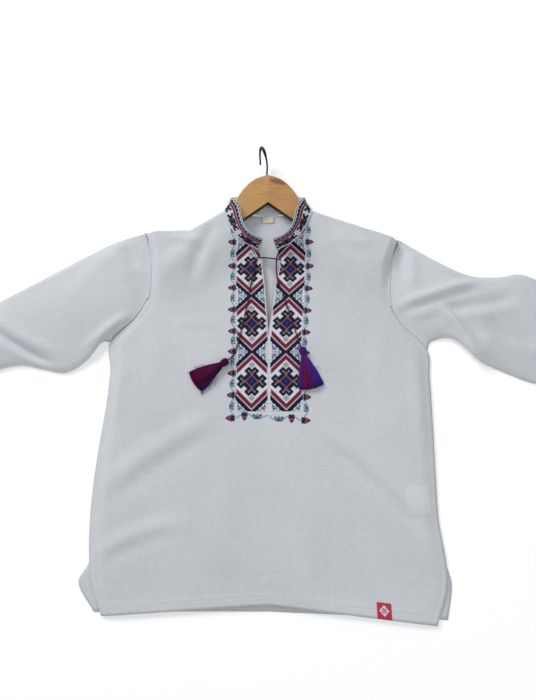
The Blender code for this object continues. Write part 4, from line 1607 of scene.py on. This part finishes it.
class SHIRT_OT_labels(bpy.types.Operator):
    """Sew in the neck label, the side label and the hem tab"""
    bl_idname = "shirt.labels"
    bl_label = "Labels and Tab"

    def execute(self, context):
        cotton = linen_finish("label_cotton", (0.86, 0.82, 0.58))
        tab = grid_object("woven_tab", 12, 12, lambda u, v, side: tab_place(u, v), ribbed_red())
        diamond = build_diamond(thread_finish("tab_thread"))
        settle(diamond, "woven_red")
        apply_wall(tab, TAB_WALL, -1.0)
        settle(tab, "woven_red", "hem_tab")
        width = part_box("neck_label")[1][0] * 2
        build_label("woven_neck_label", "neck_label", cotton, 0.0, BACK_NECK_Y - 0.0010,
                    CLOTH + 0.0009, width, NECK_LABEL_LONG, down=True)
        x, y, width, length = CARE_LABEL
        build_label("satin_side_label", "care_label", cotton, x, y - length / 2,
                    CLOTH + 0.0006, width, length)
        return {"FINISHED"}


class SHIRT_OT_hanger(bpy.types.Operator):
    """Shape the two halves of the wooden hanger and blacken its hook"""
    bl_idname = "shirt.hanger"
    bl_label = "Hanger"

    def execute(self, context):
        wood = wood_finish("honey_wood")
        # painted shade for the hanger's lower walls, dark brown streaked along the grain
        shade = Finish("painted_shade_edge", Roughness=0.6)
        grain = shade.noise(shade.place(0.0, (1.0, 8.0, 1.0)), 60.0, 3.0)
        shade.colour(shade.mix(grain, (0.035, 0.018, 0.008), (0.085, 0.042, 0.016)))
        for side, node in ((-1, "hanger_left"), (1, "hanger_right")):
            half = build_hanger_half(side, node + "_wood", wood, shade.material)
            settle(half, "honey_wood", node)
        settle(build_hook(steel_finish("black_steel")), "black_steel", "hook")
        return {"FINISHED"}


class SHIRT_OT_lace(bpy.types.Operator):
    """Thread the lace through the slit and hang its tassels"""
    bl_idname = "shirt.lace"
    bl_label = "Lace and Tassels"

    def execute(self, context):
        maroon = tuple(context.scene.lace.maroon)
        violet = tuple(context.scene.lace.violet)
        cord = cord_finish("maroon_cord", maroon, (0.075, 0.007, 0.020))
        bar, bar_path = rope_object("cord_bar", LACE_BAR, 60, cord)
        left, left_path = rope_object("cord_left", LACE_LEFT, 220, cord)
        right, right_path = rope_object("cord_right", LACE_RIGHT, 200, cord)
        thread = thread_finish("tassel_thread", 0.12)
        plum, grape, indigo = (0.110, 0.004, 0.055), (0.170, 0.006, 0.085), (0.040, 0.015, 0.150)
        rose, ink = (0.230, 0.008, 0.075), (0.050, 0.030, 0.300)
        heads = []
        for name, spec, dyes, bands, seed, reach, strays, slot in (
            ("left_tassel", TASSEL_LEFT, (plum, grape, plum, indigo),
             (-1.0, -0.5, 0.1, 0.75), 7, 1.04, 34, "maroon_cord"),
            ("right_tassel", TASSEL_RIGHT, (violet, rose, violet, ink),
             (-1.0, -0.45, 0.05, 0.45), 11, 1.09, 6, "purple_thread"),
        ):
            tassel = Tassel(spec, dyes, bands, seed, reach)
            heads.append(tassel.build_head(name + "_head", thread))
            settle(heads[-1], slot)
            skirt = tassel.build_skirt(name + "_skirt", thread, strays)
            settle(skirt, slot, "tassel_" + name.split("_")[0])
        for item, node in ((bar, "lace_bar"), (left, "lace_left"), (right, "lace_right")):
            settle(item, "maroon_cord", node)
        tuple(bar_path[0])
        path_length(bar_path)
        [tuple(p) for p in bar_path]
        for item, path, head in ((left, left_path, heads[0]), (right, right_path, heads[1])):
            tuple(path[0])
            path_length(path)
            [tuple(p) for p in path]
        return {"FINISHED"}


class SHIRT_OT_stage(bpy.types.Operator):
    """Set out the pale floor, the soft light and the camera"""
    bl_idname = "shirt.stage"
    bl_label = "Stage"

    def execute(self, context):
        settings = context.scene.stage
        deselect()
        bpy.ops.mesh.primitive_plane_add(size=8.0, location=(0.0, 0.0, -FLOOR_AIR))
        floor = context.object
        floor.name = "floor"
        pale = Finish("pale_floor", Roughness=0.9, Base_Color=(0.93, 0.93, 0.93, 1.0),
                      Emission_Color=(1.0, 1.0, 1.0, 1.0), Emission_Strength=0.245)
        floor.data.materials.append(pale.material)
        world = bpy.data.worlds.new("studio")
        world.use_nodes = True
        sky = world.node_tree.nodes["Background"]
        sky.inputs["Color"].default_value = (0.97, 0.985, 1.0, 1.0)
        sky.inputs["Strength"].default_value = 0.42
        context.scene.world = world
        for name, place, aim, size, power in (
            ("key", (-2.2, 2.6, 2.1), (0.0, 0.05, 0.0), 1.4, 92.0),
            ("fill", (0.9, -0.6, 1.9), (0.0, 0.0, 0.0), 1.8, 9.0),
        ):
            lamp = bpy.data.lights.new(name, "AREA")
            lamp.size = size
            lamp.energy = power
            item = bpy.data.objects.new(name, lamp)
            item.location = place
            item.rotation_euler = (Vector(aim) - Vector(place)).to_track_quat("-Z", "Y").to_euler()
            context.scene.collection.objects.link(item)
        data = bpy.data.cameras.new("camera")
        data.lens = settings.lens
        data.sensor_width = 36.0
        data.clip_start = 0.01
        camera = bpy.data.objects.new("camera", data)
        camera.location = (0.0, settings.camera_y, settings.camera_height)
        camera.rotation_euler = (settings.camera_tilt, 0.0, 0.0)
        context.scene.collection.objects.link(camera)
        context.scene.camera = camera
        context.scene.view_settings.view_transform = "Standard"
        return {"FINISHED"}


OPERATORS = (
    SHIRT_OT_stage, SHIRT_OT_lace, SHIRT_OT_body, SHIRT_OT_sleeves, SHIRT_OT_collar,
    SHIRT_OT_embroidery, SHIRT_OT_seams, SHIRT_OT_labels, SHIRT_OT_hanger,
)


class SHIRT_PT_panel(bpy.types.Panel):
    """Lists the steps that build the shirt"""
    bl_label = "Vyshyvanka Shirt"
    bl_idname = "SHIRT_PT_panel"
    bl_space_type = "VIEW_3D"
    bl_region_type = "UI"
    bl_category = "Shirt"

    def draw(self, context):
        for group in (context.scene.shirt, context.scene.lace, context.scene.stage):
            box = self.layout.box()
            for name in group.bl_rna.properties.keys():
                if name not in ("rna_type", "name"):
                    box.prop(group, name)
        for operator in OPERATORS:
            self.layout.operator(operator.bl_idname)


SETTINGS = (("shirt", ShirtSettings), ("lace", LaceSettings), ("stage", StageSettings))


def register():
    for cls in [group for _, group in SETTINGS] + list(OPERATORS) + [SHIRT_PT_panel]:
        bpy.utils.register_class(cls)
    for name, group in SETTINGS:
        setattr(bpy.types.Scene, name, bpy.props.PointerProperty(type=group))


def unregister():
    for name, _ in SETTINGS:
        delattr(bpy.types.Scene, name)
    for cls in [SHIRT_PT_panel] + list(OPERATORS) + [group for _, group in SETTINGS]:
        bpy.utils.unregister_class(cls)


def main():
    register()
    for operator in OPERATORS:
        group, name = operator.bl_idname.split(".")
        getattr(getattr(bpy.ops, group), name)()


if __name__ == "__main__":
    main()
